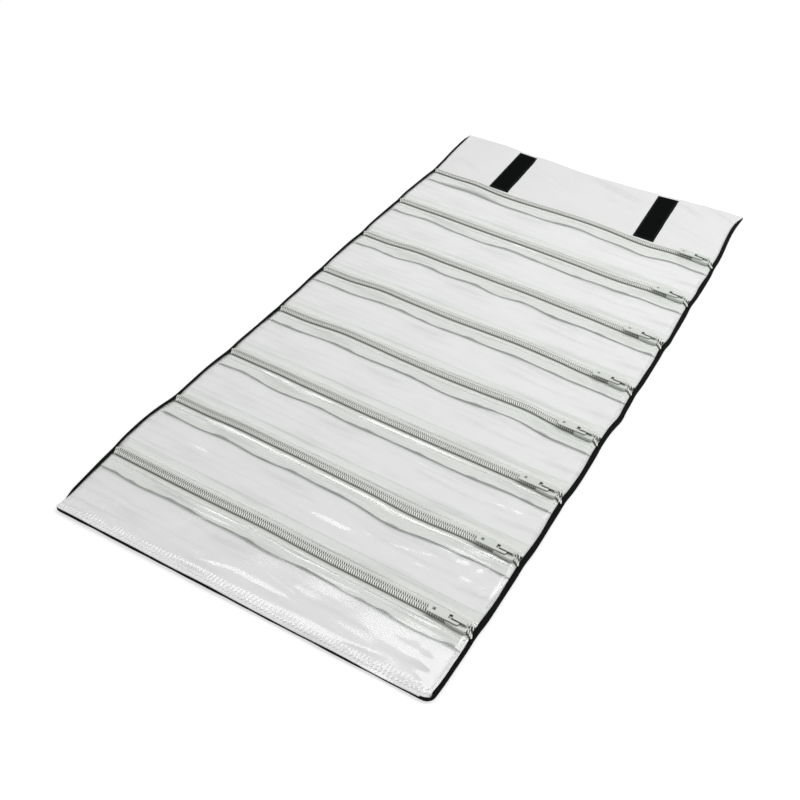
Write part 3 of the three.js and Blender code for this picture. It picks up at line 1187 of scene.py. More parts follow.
@dataclass
class WideSheet:
    """What the two sheets share that run through the whole roll, one piece for each section."""

    layout: RollLayout
    hem: Hem
    finish: Material

    def build(self) -> list[Piece]:
        """Makes the sheet's pieces."""
        return [self._section(section) for section in range(self.layout.pockets + 1)]

    def _section(self, section: int) -> Piece:
        """One piece of the sheet, which each kind makes its own way."""
        raise NotImplementedError


@dataclass
class OuterCover(WideSheet):
    """The black cover: a base sheet with its edges turned up and over as a hem."""

    base_under: float = 0.05 * MM
    base_inset: float = 0.8 * MM

    def _section(self, section: int) -> Piece:
        """One piece of the cover.

        Args:
            section: Number of the section.

        Returns:
            The piece.
        """
        layout = self.layout
        near, far = layout.span(section)
        form = Form.empty()
        self._add_base(form, section)
        if section == layout.pockets:
            self._add_hem(form, *self._round_near_end(far))
        else:
            for side in (-1, 1):
                self._add_hem(form, *self._along_side(side, near, far))
        piece = form.build(f"cover_cloth_{layout.label(section)}", layout)
        dress(piece, self.finish)
        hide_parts(f"cover_{layout.label(section)}")
        settle(piece, layout, section)
        return piece

    def _inset(self, y: Array, side: int) -> Array:
        """How far inside the edge the base ends, on either side."""
        return np.full_like(y, self.base_inset)

    def _add_base(self, form: Form, section: int) -> None:
        """Adds the flat base of a section.

        Args:
            form: Form that it is added to.
            section: Number of the section.
        """
        near, far = self.layout.span(section)
        inset = self.base_inset
        last, first = section == self.layout.pockets, section == 0
        y = stations(near + inset * last, far - inset * first, 2.5 * MM, 6.0 * MM if last or first else 0.0)
        x = self.layout.spread_over(y, np.linspace(-1.0, 1.0, 57), self._inset)
        place = np.broadcast_to(y[:, None], x.shape)
        soft = Ripples(11, 6, length=(25.0, 70.0)).at(x, place)
        z = self.base_under + self.hem.thickness + 0.03 * MM * (soft - 1.0)
        top = np.stack([x, place, z], axis=2)
        form.add_sheet(top, self.hem.thickness - 0.06 * MM, top[:, :, :2])

    def _along_side(self, side: int, near: float, far: float) -> tuple[Array, Array, Array, Array]:
        """Route of a side hem.

        Args:
            side: 1 for right and -1 for left.
            near: Its near end.
            far: Its far end.

        Returns:
            Its points, outward directions, lip widths and heights.
        """
        y = stations(near, far, 2.0 * MM)
        points = np.stack([side * self.layout.edge(y, side), y], axis=1)
        normals = np.tile([float(side), 0.0], (len(y), 1))
        return points, normals, self.hem.lip(y, side), self.hem.height(y, side)

    def _round_near_end(self, far: float) -> tuple[Array, Array, Array, Array]:
        """Route of the hem round the near end, from the left side to the right one.

        Args:
            far: Far end of both sides.

        Returns:
            Its points, outward directions, lip widths and heights.
        """
        layout = self.layout
        covered = self.hem.covered
        sides, arcs = {}, {}
        for side in (-1, 1):
            radius = layout.near_radius(side)
            sides[side] = self._along_side(side, radius - layout.half_length, far)
            corner = sides[side][0][0] - np.array([side * radius, 0.0])
            angle = np.linspace(0.0, math.pi / 2.0, 8)[1:-1]
            way = np.stack([side * np.cos(angle), -np.sin(angle)], axis=1)
            turn = ease(np.linspace(0.0, 1.0, 8)[1:-1])
            edge_height = self.hem.near_height(corner[:1])[0] - covered
            height = sides[side][3][0] + (edge_height - sides[side][3][0]) * turn
            arcs[side] = (corner + radius * way, way, sides[side][2][0] * (1.0 - turn) ** 2, height)
        x = stations(arcs[-1][0][-1, 0], arcs[1][0][-1, 0], 2.5 * MM)[1:-1]
        wander = Ripples(77, 6, length=(14.0, 80.0), heading=(0.0, 10.0))
        front = (
            np.stack([x, 0.15 * MM * wander.along_x(x) - layout.half_length], axis=1),
            np.tile([0.0, -1.0], (len(x), 1)),
            np.zeros(len(x)),
            self.hem.near_height(x) - covered,
        )
        backwards = [tuple(part[::-1] for part in run) for run in (sides[-1], arcs[1])]
        order = [backwards[0], arcs[-1], front, backwards[1], sides[1]]
        return tuple(np.concatenate([run[k] for run in order]) for k in range(4))

    def _add_hem(self, form: Form, points: Array, normals: Array, lips: Array, heights: Array) -> None:
        """Adds a hem that follows a route.

        Args:
            form: Form that it is added to.
            points: Outer edge of the hem in plan.
            normals: Outward direction at each point.
            lips: Width of the turned-in lip at each point.
            heights: Height of the hem at each point.
        """
        wall, under = self.hem.thickness, self.base_under
        rings = []
        for lip, height in zip(lips, heights):
            tip = max(lip, wall + 0.25 * MM)
            fold = min(wall, 0.6 * height)
            rings.append([
                (1.6 * MM, 0.0), (0.5 * MM, 0.0), (0.12 * MM, 0.12 * MM), (0.0, 0.4 * height),
                (0.0, 0.75 * height), (0.12 * MM, height - 0.12 * MM), (0.45 * MM, height),
                (tip - 0.2 * MM, height - 0.05 * MM), (tip, height - 0.2 * fold), (tip, height - 0.7 * fold),
                (tip - 0.15 * MM, height - fold), (wall, height - fold - 0.05 * MM), (wall, 0.3 * height),
                (wall + 0.2 * MM, under), (1.4 * MM, under), (1.6 * MM, 0.6 * under),
            ])
        profile = np.array(rings)
        plan = points[:, None] - normals[:, None] * profile[:, :, :1]
        swept = np.concatenate([plan, profile[:, :, 1:]], axis=2)
        run = np.concatenate([[0.0], np.cumsum(np.linalg.norm(np.diff(points, axis=0), axis=1))])
        around = np.cumsum(np.linalg.norm(np.diff(profile, axis=1, prepend=profile[:, :1]), axis=2), axis=1)
        form.add_sweep(swept, np.stack([around, np.broadcast_to(run[:, None], around.shape)], axis=2))


@dataclass
class Lining(WideSheet):
    """The pale lining: bare and softly creased on the flap, and the floor of every pocket."""

    thickness: float = 0.45 * MM
    crease: float = 1.1 * MM
    flap_creases: tuple[Crease, ...] = (
        Crease(24.0 * MM, 271.0 * MM, -18.0, 60.0 * MM, 2.6 * MM, 1.5),
        Crease(91.0 * MM, 273.0 * MM, -27.0, 34.0 * MM, 1.9 * MM, 1.2),
        Crease(-113.0 * MM, 234.0 * MM, -22.0, 28.0 * MM, 2.2 * MM, 0.9),
    )
    floor_wave: float = 0.1 * MM
    far_roll: float = 1.2 * MM

    def _section(self, section: int) -> Piece:
        """One piece of the lining.

        Args:
            section: Number of the section.

        Returns:
            The piece.
        """
        layout = self.layout
        near, far = layout.span(section)
        last, first = section == layout.pockets, section == 0
        step = 0.8 * MM if first else 1.5 * MM
        y = stations(near + 0.12 * MM * last, far - 0.1 * MM * first, step, 6.0 * MM if last else 0.0)
        x = layout.spread_over(y, np.linspace(-1.0, 1.0, 351 if first else 187), self.hem.inset)
        place = np.broadcast_to(y[:, None], x.shape)
        top = np.stack([x, place, self.height(x, place)], axis=2)
        form = Form.empty()
        form.add_sheet(top, self.thickness, top[:, :, :2])
        # Painted shade: the side of each flap crease that slopes down towards the far edge is darkened; only
        # the flap gets it
        slope = np.gradient(top[:, :, 2], axis=0) / np.gradient(place, axis=0)
        shade = np.clip(-slope * first, 0.0, 0.5).ravel()
        marks = {"shade": np.concatenate([shade, shade])}
        piece = form.build(f"lining_cloth_{layout.label(section)}", layout, marks)
        dress(piece, self.finish)
        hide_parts(f"lining_{layout.label(section)}")
        below = f"cover_cloth_{layout.label(section)}"
        settle(piece, layout, section)
        return piece

    def height(self, x: Array, y: Array) -> Array:
        """Height of the lining's face.

        Args:
            x: Places along X.
            y: Places along Y.

        Returns:
            The heights.
        """
        layout = self.layout
        on_flap = ease(y - layout.fold(1) - 1.0 * MM, 10.0 * MM)
        from_side = ease(layout.half_width - np.abs(x) - 5.0 * MM, 10.0 * MM)
        under_strip = np.zeros(np.broadcast(x, y).shape)
        for side in (-1, 1):
            low, high = layout.strip_box(side)
            middle = (low.x + high.x) / 2.0 + layout.strip_shift(y, side)
            under_strip = under_strip + bump_at(x, middle, 13.0 * MM)
        soft = Ripples(5, 6, length=(30.0, 80.0), heading=(20.0, 160.0)).at(x, y)
        folds = Creases(
            seed=9, count=20, x_range=(-0.13, 0.13), y_range=(layout.fold(1) + 8.0 * MM, layout.half_length),
            length=(20.0 * MM, 56.0 * MM), width=(2.6 * MM, 6.0 * MM), heading=(-60.0, 10.0),
        ).at(x, y)
        folds = folds + sum(crease.at(x, y) for crease in self.flap_creases)
        floor = Ripples(6, 5, length=(30.0, 90.0)).at(x, y)
        wave = on_flap * from_side * (1.0 - under_strip) * self.crease * (0.5 + 0.3 * soft + folds)
        roll = ease(y - layout.half_length + self.far_roll, self.far_roll)
        level = layout.lining_top + self.floor_wave * floor * from_side * (1.0 - on_flap)
        z = np.maximum(level + wave, layout.lining_top - 0.05 * MM) - 0.5 * MM * roll
        return z + (self.hem.near_height(x) - layout.lining_top) * self.hem.near_climb(y)


@dataclass(frozen=True)
class ToothShape:
    """Shape of the teeth of one half of a coil, from the tape round to the tip, in millimetres.

    Attributes:
        reach: Distances from the joint line.
        shaded: Reach at which the painted shade of the tip begins.
    """

    reach: tuple[float, ...]
    wide: tuple[float, ...]
    shaded: float
    high: tuple[float, ...] = (0.05, 0.5, 1.0, 1.36, 1.46, 1.42, 1.3, 0.95, 0.4)


TEETH = {
    Side.UPPER: ToothShape(
        reach=(2.6, 2.9, 2.82, 2.4, 1.6, 0.8, 0.2, -0.2, -0.3),
        wide=(0.34, 0.35, 0.36, 0.36, 0.38, 0.48, 0.58, 0.48, 0.4),
        shaded=0.8,
    ),
    Side.LOWER: ToothShape(
        reach=(2.6, 2.9, 2.82, 2.4, 1.5, 0.6, 0.0, -0.5, -0.65),
        wide=(0.48, 0.52, 0.57, 0.6, 0.6, 0.54, 0.44, 0.36, 0.3),
        shaded=0.2,
    ),
}
# Rows of points across a tape in percent of its width, closer together where its shade changes
TAPE_ROWS = (0, 8, 15, 19, 21, 23, 27, 33, 40, 48, 56, 64, 72, 76, 80, 84, 88, 91, 94, 96, 98, 100)


@dataclass
class CoilZipper:
    """One zipper: two woven tapes and the two halves of its coil.

    Attributes:
        slant: How far the teeth lean to the left for each length towards the flap.
        level_reach: Reach to which the upper tape stays level.
        edge_shadow_swell: Where the painted shadow along the lower tape's free edge grows wider and darker.
        spread_reach: How far the halves part past the closed slider.
        closed_stop: How far right of the middle the chain runs straight, where the closed slider sits.
        open_stop: How far left of the middle it runs straight again, where the open slider stops.
    """

    layout: RollLayout
    hem: Hem
    pocket: int
    tape_finish: Material
    coil_finish: Material
    tape_width: float = 15.3 * MM
    tape_thickness: float = 0.45 * MM
    coil_height: float = 1.8 * MM
    pitch: float = 1.55 * MM
    slant: float = 0.33
    level_reach: float = 4.9 * MM
    droop: float = 0.38 * MM
    edge_wave: float = 1.0 * MM
    chain_wave: float = 0.12 * MM
    edge_shadow_swell: Swell = NO_SWELL
    spread_reach: float = 2.4 * MM
    closed_stop: float = 112.0 * MM
    closed_ease: float = 35.0 * MM
    open_stop: float = 114.0 * MM
    open_ease: float = 45.0 * MM
    tape_end: float = 1.8 * MM

    @property
    def tape_top(self) -> float:
        """Height of the tapes beside the coil."""
        return self.layout.coil_top - self.coil_height

    @property
    def line(self) -> float:
        """Joint line of the two halves."""
        return self.layout.coil(self.pocket)

    @property
    def upper_width(self) -> float:
        """Width of the upper tape, which is cut short beside the flap."""
        return min(self.tape_width, self.layout.fold(self.pocket) - self.line - 1.0 * MM)

    def sway(self, x: Array) -> Array:
        """How far the chain strays along Y, with none where the slider stops at either end.

        Args:
            x: Places along the chain.

        Returns:
            The shift at each place.
        """
        wave = Ripples(200 + self.pocket, 3, length=(40.0, 90.0), heading=(-4.0, 4.0))
        shift = self.chain_wave * wave.along_x(x)
        for bow in self.layout.chain_bows[self.pocket - 1]:
            shift = shift + bow.at(x)
        to_closed = ease(self.closed_stop - x, self.closed_ease)
        return shift * to_closed * ease(x + self.open_stop, self.open_ease)

    def left_shade(self, x: Array, least: float, more: float) -> Array:
        """Painted shade that deepens towards the left end of the chain."""
        return least + more * ease(-x, 0.8 * self.layout.half_width)

    def upper_share(self, reach: Array | float) -> Array | float:
        """Share of the chain's stray that the upper tape takes part in, at a reach from the joint line."""
        lost = 0.4 if self.pocket == 1 else 1.0
        return np.clip(1.0 - lost * reach / self.upper_width, 0.0, 1.0)

    def end(self, side: int) -> float:
        """Half width of the roll at this zipper."""
        return float(self.layout.edge(np.array([self.line]), side)[0])

    @property
    def laid(self) -> float:
        """Height of a tape that lies on the lining."""
        return self.layout.lining_top + self.tape_thickness + 0.05 * MM

    def hem_start(self, side: int) -> float:
        """Where the lip of the hem begins at this zipper."""
        return self.end(side) - float(self.hem.lip(np.array([self.line]), side)[0])

    def level(self, x: Array) -> Array:
        """Height of the tapes beside the coil, which drop under the hem at both ends."""
        start = np.where(x > 0.0, self.hem_start(1), self.hem_start(-1)) - 3.6 * MM
        return self.tape_top - (self.tape_top - self.laid) * ease(np.abs(x) - start, 3.4 * MM)

    def from_end(self, x: Array, length: float) -> Array:
        """Share that runs out towards both ends of the zipper over a length."""
        return ease(self.layout.half_width - np.abs(x) - 4.0 * MM, length)

    def spread(self, x: Array) -> Array:
        """How far each half of the chain leaves the joint line past the closed slider."""
        return self.spread_reach * ease(x - self.layout.slider_end, 4.5 * MM)

    def upper_height(self, x: Array, reach: Array) -> Array:
        """Height of the upper tape at a reach from the joint line."""
        start, level = min(self.level_reach, 0.6 * self.upper_width), self.level(x)
        return level + (self.laid - level) * ease(reach - start, self.upper_width - start - 1.0 * MM)

    def lower_height(self, x: Array, reach: Array) -> Array:
        """Height of the lower tape, whose free edge hangs in waves.

        Args:
            x: Places along the chain.
            reach: Distances from the joint line.

        Returns:
            The heights.
        """
        held = 5.5 * MM
        hang = np.clip((reach - held) / (self.tape_width - held), 0.0, 1.2) ** 1.4
        wave = Ripples(300 + self.pocket, 4, length=(32.0, 110.0), heading=(-3.0, 3.0))
        droop = self.droop + 0.3 * MM * wave.along_x(x)
        return self.level(x) - hang * self.from_end(x, 14.0 * MM) * droop

    def lower_reach(self, x: Array) -> Array:
        """Reach of the lower tape's free edge."""
        wave = Ripples(340 + self.pocket, 5, length=(38.0, 130.0), heading=(-3.0, 3.0))
        return self.tape_width + self.edge_wave * self.from_end(x, 20.0 * MM) * wave.along_x(x)

    def build(self) -> list[Piece]:
        """Makes both tapes and both halves of the coil.

        Returns:
            The four pieces.
        """
        pieces = []
        for side in Side:
            tape, coil = self._tape(side), self._coil(side)
            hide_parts(f"{side.name.lower()}_stringer_{self.pocket}")
            for piece in (tape, coil):
                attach(piece, self.layout.body(self.pocket))
            width = self.upper_width if side is Side.UPPER else self.tape_width
            pieces += [tape, coil]
        return pieces

    def _tape(self, side: Side) -> Piece:
        """One woven tape.

        Args:
            side: Its half of the zipper.

        Returns:
            The tape.
        """
        x = stations(self.tape_end - self.end(-1), self.end(1) - self.tape_end, 1.6 * MM)
        upper = side is Side.UPPER
        width = np.full_like(x, self.upper_width) if upper else self.lower_reach(x)
        inner = 0.35 * MM
        share = np.array(TAPE_ROWS)[:, None] / 100.0
        reach = inner + share * (width[None] - inner)
        along = np.broadcast_to(x[None], reach.shape)
        shift = self.sway(x)[None] * (self.upper_share(reach) if upper else 1.0)
        y = self.line + side.value * (reach + self.spread(x)[None] * (1.0 - share)) + shift
        z = self.upper_height(along, reach) if upper else self.lower_height(along, reach)
        top = np.stack([along, y, z], axis=2)
        plan = np.stack([along, side.value * reach], axis=2)
        waves = Ripples(370 + self.pocket, 5, length=(9.0, 60.0), heading=(-3.0, 3.0))
        # Painted shadow under the lower tape's hanging free edge, wider and darker where the swell grows; a
        # faint painted shade along the upper tape's far edge; painted shade beside the foot of the coil,
        # deeper towards the left
        uneven, edge_shadow_swell = waves.along_x(x), self.edge_shadow_swell.at(x)
        free_edge = 0.3 if upper else np.clip(0.75 + 0.35 * uneven + 2.0 * edge_shadow_swell, 0.3, 1.0)[None]
        band = 0.05 if upper else (0.04 + 0.08 * np.clip(uneven - 0.2, 0.0, 1.5) + edge_shadow_swell)[None]
        beside_coil = self.left_shade(x, 0.42, 0.26) * ease(4.0 * MM - reach, 0.6 * MM)
        edge = ease(share - 1.0 + band, band) * free_edge + beside_coil
        if not upper:
            top, plan, edge = top[::-1], plan[::-1], edge[::-1]
        form = Form.empty()
        form.add_sheet(top, self.tape_thickness, plan)
        marks = {"shade": np.concatenate([edge.ravel(), edge.ravel()])}
        piece = form.build(f"tape_{side.name.lower()}_{self.pocket}", self.layout, marks)
        dress(piece, self.tape_finish)
        return piece

    def _coil(self, side: Side) -> Piece:
        """One half of the coil: a row of rounded teeth over a cord.

        Args:
            side: Its half of the zipper.

        Returns:
            The half coil.
        """
        shape = TEETH[side]
        path = np.stack([side.value * np.array(shape.reach), shape.high], axis=1) * MM
        tooth = tube(path, np.array(shape.wide) * MM, high=0.34 * MM, sides=6)
        tooth.points[:, 0] -= self.slant * tooth.points[:, 1]
        start, stop = 0.8 * MM - self.hem_start(-1), self.hem_start(1) - 0.4 * MM
        x = np.arange(start, stop, self.pitch) + (self.pitch / 2.0 if side is Side.LOWER else 0.0)
        y = self.line + side.value * self.spread(x) + self.sway(x)
        form = Form.empty()
        form.add_copies(tooth, np.stack([x, y, self.level(x)], axis=1))
        # Painted shade on the low parts of the teeth next to the tape, and on the tips at the joint line,
        # deeper towards the left end
        low = ease(0.9 * MM - tooth.points[:, 2], 0.5 * MM)
        tip = ease(shape.shaded * MM - side.value * tooth.points[:, 1], 0.5 * MM)
        shade = np.maximum(low[None], self.left_shade(x, 0.34, 0.36)[:, None] * tip[None]).ravel()
        cord_x = stations(start, stop, 4.0 * MM)
        cord_y = self.line + side.value * (1.5 * MM + self.spread(cord_x)) + self.sway(cord_x)
        angle = np.arange(8) * math.pi / 4.0
        rings = np.stack([
            np.tile(cord_x[:, None], (1, 8)),
            cord_y[:, None] + 0.8 * MM * np.cos(angle),
            self.level(cord_x)[:, None] + 0.55 * MM + 0.5 * MM * np.sin(angle),
        ], axis=2)
        form.add_sweep(rings)
        # The cord is painted all in the shade colour, as it lies in shade under the teeth
        marks = {"recess": np.concatenate([shade, np.ones(rings.shape[0] * rings.shape[1])])}
        piece = form.build(f"coil_{side.name.lower()}_{self.pocket}", self.layout, marks)
        dress(piece, self.coil_finish)
        return piece


@dataclass
class PocketWindow:
    """One clear window: sewn to its own zipper at the far side and to the next one at the near side.

    Attributes:
        far_reach: Where it begins, from the joint line of its zipper.
        near_reach: Where it ends, from the joint line of the next zipper.
        turned: Width that is turned under along both seams.
        slack: How far it stands off the lining all over.
        tuck: How far it ends inside the lining's sides.
        seam_pull: How strongly the seam at its far side draws it into folds.
        seam_glint: Where those folds stand higher.
    """

    layout: RollLayout
    hem: Hem
    pocket: int
    zipper: CoilZipper
    next_zipper: CoilZipper | None
    finish: Material
    far_reach: float = 5.6 * MM
    near_reach: float = 5.2 * MM
    turned: float = 5.5 * MM
    rise: float = 0.5 * MM
    slack: float = 0.5 * MM
    side_slope: float = 11.0 * MM
    foot_slope: float = 16.0 * MM
    slack_slope: float = 12.0 * MM
    tuck: float = 0.3 * MM
    blend: float = 0.25 * MM
    seam_pull: float = 0.6
    seam_glint: Swell = NO_SWELL

    @property
    def last(self) -> bool:
        """True for the pocket at the near edge."""
        return self.next_zipper is None

    @property
    def length(self) -> float:
        """Distance from the joint line to the near end of the window."""
        if self.next_zipper is None:
            return self.zipper.line + self.layout.half_length - 0.4 * MM
        return self.zipper.line - self.next_zipper.line - self.near_reach

    def height(self, x: Array, reach: Array) -> Array:
        """Height of the window.

        Args:
            x: Places along X.
            reach: Distances from the joint line towards the near edge.

        Returns:
            The heights.
        """
        layout, coil = self.layout, self.zipper.line
        y = coil - reach
        right, left = (
            (layout.edge(y, side), self.hem.lip(y, side), self.hem.height(y, side)) for side in (1, -1)
        )
        edge, lip, hem_height = (np.where(x > 0.0, a, b) for a, b in zip(right, left))
        from_edge = edge - np.abs(x)
        from_side = ease(from_edge - lip - 0.5 * MM, self.side_slope)
        if self.last:
            foot, slope, fade, past = self.length + 0.4 * MM, self.hem.near_rise, self.hem.near_rise, 0.0
        else:
            foot, slope = coil - layout.fold(self.pocket + 1) - 1.0 * MM, self.foot_slope
            fade, past = self.slack_slope, 4.0 * MM
        body = ease(reach - 8.6 * MM, 8.0 * MM) * ease(foot - reach, slope) * from_side
        pucker = (0.16 if self.last else 0.24) * MM
        lift = self.rise + self._creasing(x, y) + pucker * self._puckers(x, reach)
        climb = (self.hem.near_height(x) - layout.lining_top) * self.hem.near_climb(y)
        floor = layout.lining_top + 0.15 * MM + climb
        slack = self.slack * ease(foot - reach + past, fade + past) * from_side
        z = floor + slack + lift * body + from_side * self._gathers(x, reach, from_edge - lip)
        on_lower = self.zipper.lower_height(x, reach) + 0.25 * MM + from_side * self._seam_folds(x, reach)
        on_lower = on_lower - 0.05 * np.clip(reach - self.zipper.tape_width, 0.0, None)
        z = soft_top(z, on_lower, self.blend)
        if self.next_zipper is not None:
            back = coil - self.next_zipper.line - reach
            folds = 0.3 * from_side * self._seam_folds(x, back - 1.0 * MM)
            z = soft_top(z, self.next_zipper.upper_height(x, back) + 0.2 * MM + folds, self.blend)
        tucked = ease(lip + 1.6 * MM - from_edge, 1.6 * MM) * ease(3.0 * lip, self.hem.left_lip)
        roof = np.maximum(hem_height - self.hem.thickness - 0.1 * MM, floor)
        return np.minimum(z, layout.window_top) * (1.0 - tucked) + np.minimum(z, roof) * tucked

    def _creasing(self, x: Array, y: Array) -> Array:
        """Waves and creases of the middle of the window, drawn out along the zippers.

        Args:
            x: Places along X.
            y: Places along Y.

        Returns:
            The heights.
        """
        streaks = Ripples(400 + self.pocket, 7, length=(7.0, 19.0), heading=(78.0, 102.0))
        swell = Ripples(430 + self.pocket, 5, length=(45.0, 140.0))
        middle = self.zipper.line - self.length / 2.0
        sharp = Creases(
            seed=460 + self.pocket, count=34, x_range=(-0.13, 0.13), y_range=(middle - 0.024, middle + 0.024),
            length=(24.0 * MM, 60.0 * MM), width=(0.8 * MM, 1.8 * MM), heading=(-16.0, 16.0),
        )
        broad = Creases(
            seed=480 + self.pocket, count=9, x_range=(-0.12, 0.12), y_range=(middle - 0.012, middle + 0.012),
            length=(18.0 * MM, 40.0 * MM), width=(2.5 * MM, 6.0 * MM), heading=(50.0, 130.0),
        )
        waves = 0.17 * MM * swell.at(x, y) + 0.1 * MM * streaks.at(x, y)
        return waves + 0.28 * MM * sharp.at(x, y) + 0.18 * MM * broad.at(x, y)

    def _seam_folds(self, x: Array, reach: Array) -> Array:
        """Narrow folds that run along a zipper, over its tape.

        Args:
            x: Places along X.
            reach: Distances from the joint line.

        Returns:
            The heights.
        """
        total = np.zeros(np.broadcast(x, reach).shape)
        rows = [(5.4, 1.7, 0.56), (9.4, 0.8, 0.16), (11.9, 0.8, 0.14)]
        if self.last:
            rows = [(4.6, 0.9, 0.27), (7.4, 0.75, 0.2), (11.9, 0.8, 0.14)]
        to_slider = 1.0 - (0.7 if self.last else 0.5) * ease(x - 25.0 * MM, 50.0 * MM)
        for number, (middle, width, size) in enumerate(rows):
            seed = 500 + 10 * self.pocket + number
            along = Ripples(seed, 4, length=(40.0, 150.0), heading=(-6.0, 6.0))
            across = Ripples(seed + 5, 4, length=(30.0, 120.0), heading=(-6.0, 6.0))
            uneven = np.clip(0.95 + 0.24 * along.at(x, reach) + self.seam_glint.at(x), 0.5, 1.3)
            ridge = bump_at(reach, (middle + 0.45 * across.at(x, reach)) * MM, width * MM)
            total = total + size * MM * self.seam_pull * to_slider * uneven * ridge
        return total

    def _gathers(self, x: Array, reach: Array, from_lip: Array) -> Array:
        """Short folds that stand off the side hems, and off the near edge of the last pocket.

        Args:
            x: Places along X.
            reach: Distances from the joint line.
            from_lip: Distances from the lip of the hem.

        Returns:
            The heights.
        """
        y = self.zipper.line - reach
        seed = 540 + self.pocket
        beside = Ripples(seed, 5, length=(7.0, 20.0), heading=(70.0, 110.0))
        total = 0.2 * MM * beside.at(x, y) * np.exp(-np.clip(from_lip, 0.0, None) / (9.0 * MM))
        if self.last:
            pull = Ripples(570, 5, length=(2.4, 3.4), heading=(-12.0, 12.0)).at(x, y)
            patchy = Ripples(571, 4, length=(12.0, 50.0), heading=(-12.0, 12.0)).at(x, y)
            from_near = self.length - reach
            pinch = bump_at(from_near, 3.4 * MM, 1.5 * MM) - pull * bump_at(from_near, 5.2 * MM, 2.2 * MM)
            total = total - 0.2 * MM * (1.0 + 0.4 * patchy) * pinch
        return total

    def _puckers(self, x: Array, reach: Array) -> Array:
        """Folds that fan out from the closed end of the zipper and from the far left corner.

        Args:
            x: Places along X.
            reach: Distances from the joint line.

        Returns:
            The height at each place, about 1 at most.
        """
        total = np.zeros(np.broadcast(x, reach).shape)
        inside = 6.0 * MM
        closed_end, left_end = self.layout.slider_end - inside, inside - self.layout.half_width
        for corner, count, phase in ((closed_end, 13.0, 0.4), (left_end, 11.0, 1.3)):
            from_x, from_y = x - corner, reach - 4.0 * MM
            distance = np.hypot(from_x, from_y)
            angle = np.arctan2(from_y, -np.sign(corner) * from_x)
            fade = np.exp(-distance / (20.0 * MM)) * ease(distance, 6.0 * MM)
            total = total + 1.3 * fade * np.sin(count * angle + phase + self.pocket)
        return total

    def build(self) -> Piece:
        """Makes the window with its turned edges.

        Returns:
            The window.
        """
        share = np.linspace(-1.0, 1.0, 401 if self.last else 221)
        reach = stations(self.far_reach, self.length, 0.9 * MM)[::-1]
        form = Form.empty()
        marks = []
        self._add_skin(form, marks, share, reach, drop=0.0)
        strips = [reach[reach <= self.far_reach + self.turned]]
        if not self.last:
            strips.append(reach[reach >= self.length - self.turned])
        for strip in strips:
            self._add_skin(form, marks, share, strip, drop=0.14 * MM)
        piece = form.build(f"vinyl_window_{self.pocket}", self.layout, {"doubled": np.concatenate(marks)})
        dress(piece, self.finish)
        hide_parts(f"window_{self.pocket}")
        cut = self.length - self.far_reach + len(strips) * self.turned
        settle(piece, self.layout, self.pocket)
        return piece

    def _inset(self, y: Array, side: int) -> Array:
        """How far inside the edge the window ends."""
        return self.hem.inset(y, side) + self.tuck

    def _add_skin(self, form: Form, marks: list[Array], share: Array, reach: Array, drop: float) -> None:
        """Adds one layer of vinyl.

        Args:
            form: Form that it is added to.
            marks: Marks of doubled vinyl, which grow with the form.
            share: Places across, from -1 to 1.
            reach: Distances from the joint line.
            drop: How far the layer lies under the face of the window.
        """
        coil = self.zipper.line
        across = self.layout.spread_over(coil - reach, share, self._inset)
        back = np.broadcast_to(reach[:, None], across.shape)
        past_tape = ease(back - self.zipper.tape_width - 0.5 * MM, 20.0 * MM)
        sway = self.zipper.sway(across) * (1.0 - past_tape)
        if self.next_zipper is not None:
            reach_on = self.length + self.near_reach - back
            sway = sway + self.next_zipper.sway(across) * self.next_zipper.upper_share(reach_on)
        z = self.height(across, back) - drop
        points = np.stack([across, coil - back + sway, z], axis=2)
        plan = np.stack([across, -back], axis=2)
        form.add(points.reshape(-1, 3), grid_faces(*across.shape), plan.reshape(-1, 2))
        doubled = ease(self.far_reach + 1.0 * MM - back, 0.8 * MM)
        if not self.last:
            doubled = doubled + ease(back - self.length + 1.0 * MM, 0.8 * MM)
        marks.append(doubled.ravel())


@dataclass
class ZipSlider:
    """One slider and its pull tab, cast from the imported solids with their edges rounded."""

    pocket: int
    finish: Material
    rounding: float = 0.22 * MM

    def build(self) -> list[Piece]:
        """Makes the slider and the pull tab."""
        names = (("slider", "slider_body", "slider"), ("pull_tab", "slider_pull", "pull"))
        return [self._cast(*(f"{name}_{self.pocket}" for name in row)) for row in names]

    def _cast(self, node: str, name: str, body: str) -> Piece:
        """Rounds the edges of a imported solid's copy.

        Args:
            node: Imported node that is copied.
            name: Name of the new piece.
            body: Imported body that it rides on.

        Returns:
            The new piece.
        """
        mesh = frame["nodes"][node].data.copy()
        mesh.name = name
        work = bmesh.new()
        work.from_mesh(mesh)
        bmesh.ops.remove_doubles(work, verts=work.verts, dist=0.002 * MM)
        bmesh.ops.dissolve_limit(work, angle_limit=math.radians(1.0), verts=work.verts, edges=work.edges)
        sharp = [e for e in work.edges if len(e.link_faces) == 2 and e.calc_face_angle() > math.radians(32.0)]
        bmesh.ops.bevel(
            work, geom=sharp, offset=self.rounding, segments=3, profile=0.5,
            affect="EDGES", clamp_overlap=True,
        )
        for face in work.faces:
            face.smooth = True
        work.to_mesh(mesh)
        work.free()
        piece = linked(name, mesh)
        dress(piece, self.finish)
        weighted = piece.modifiers.new("even faces", "WEIGHTED_NORMAL")
        weighted.keep_sharp = False
        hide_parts(node)
        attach(piece, body)
        return piece


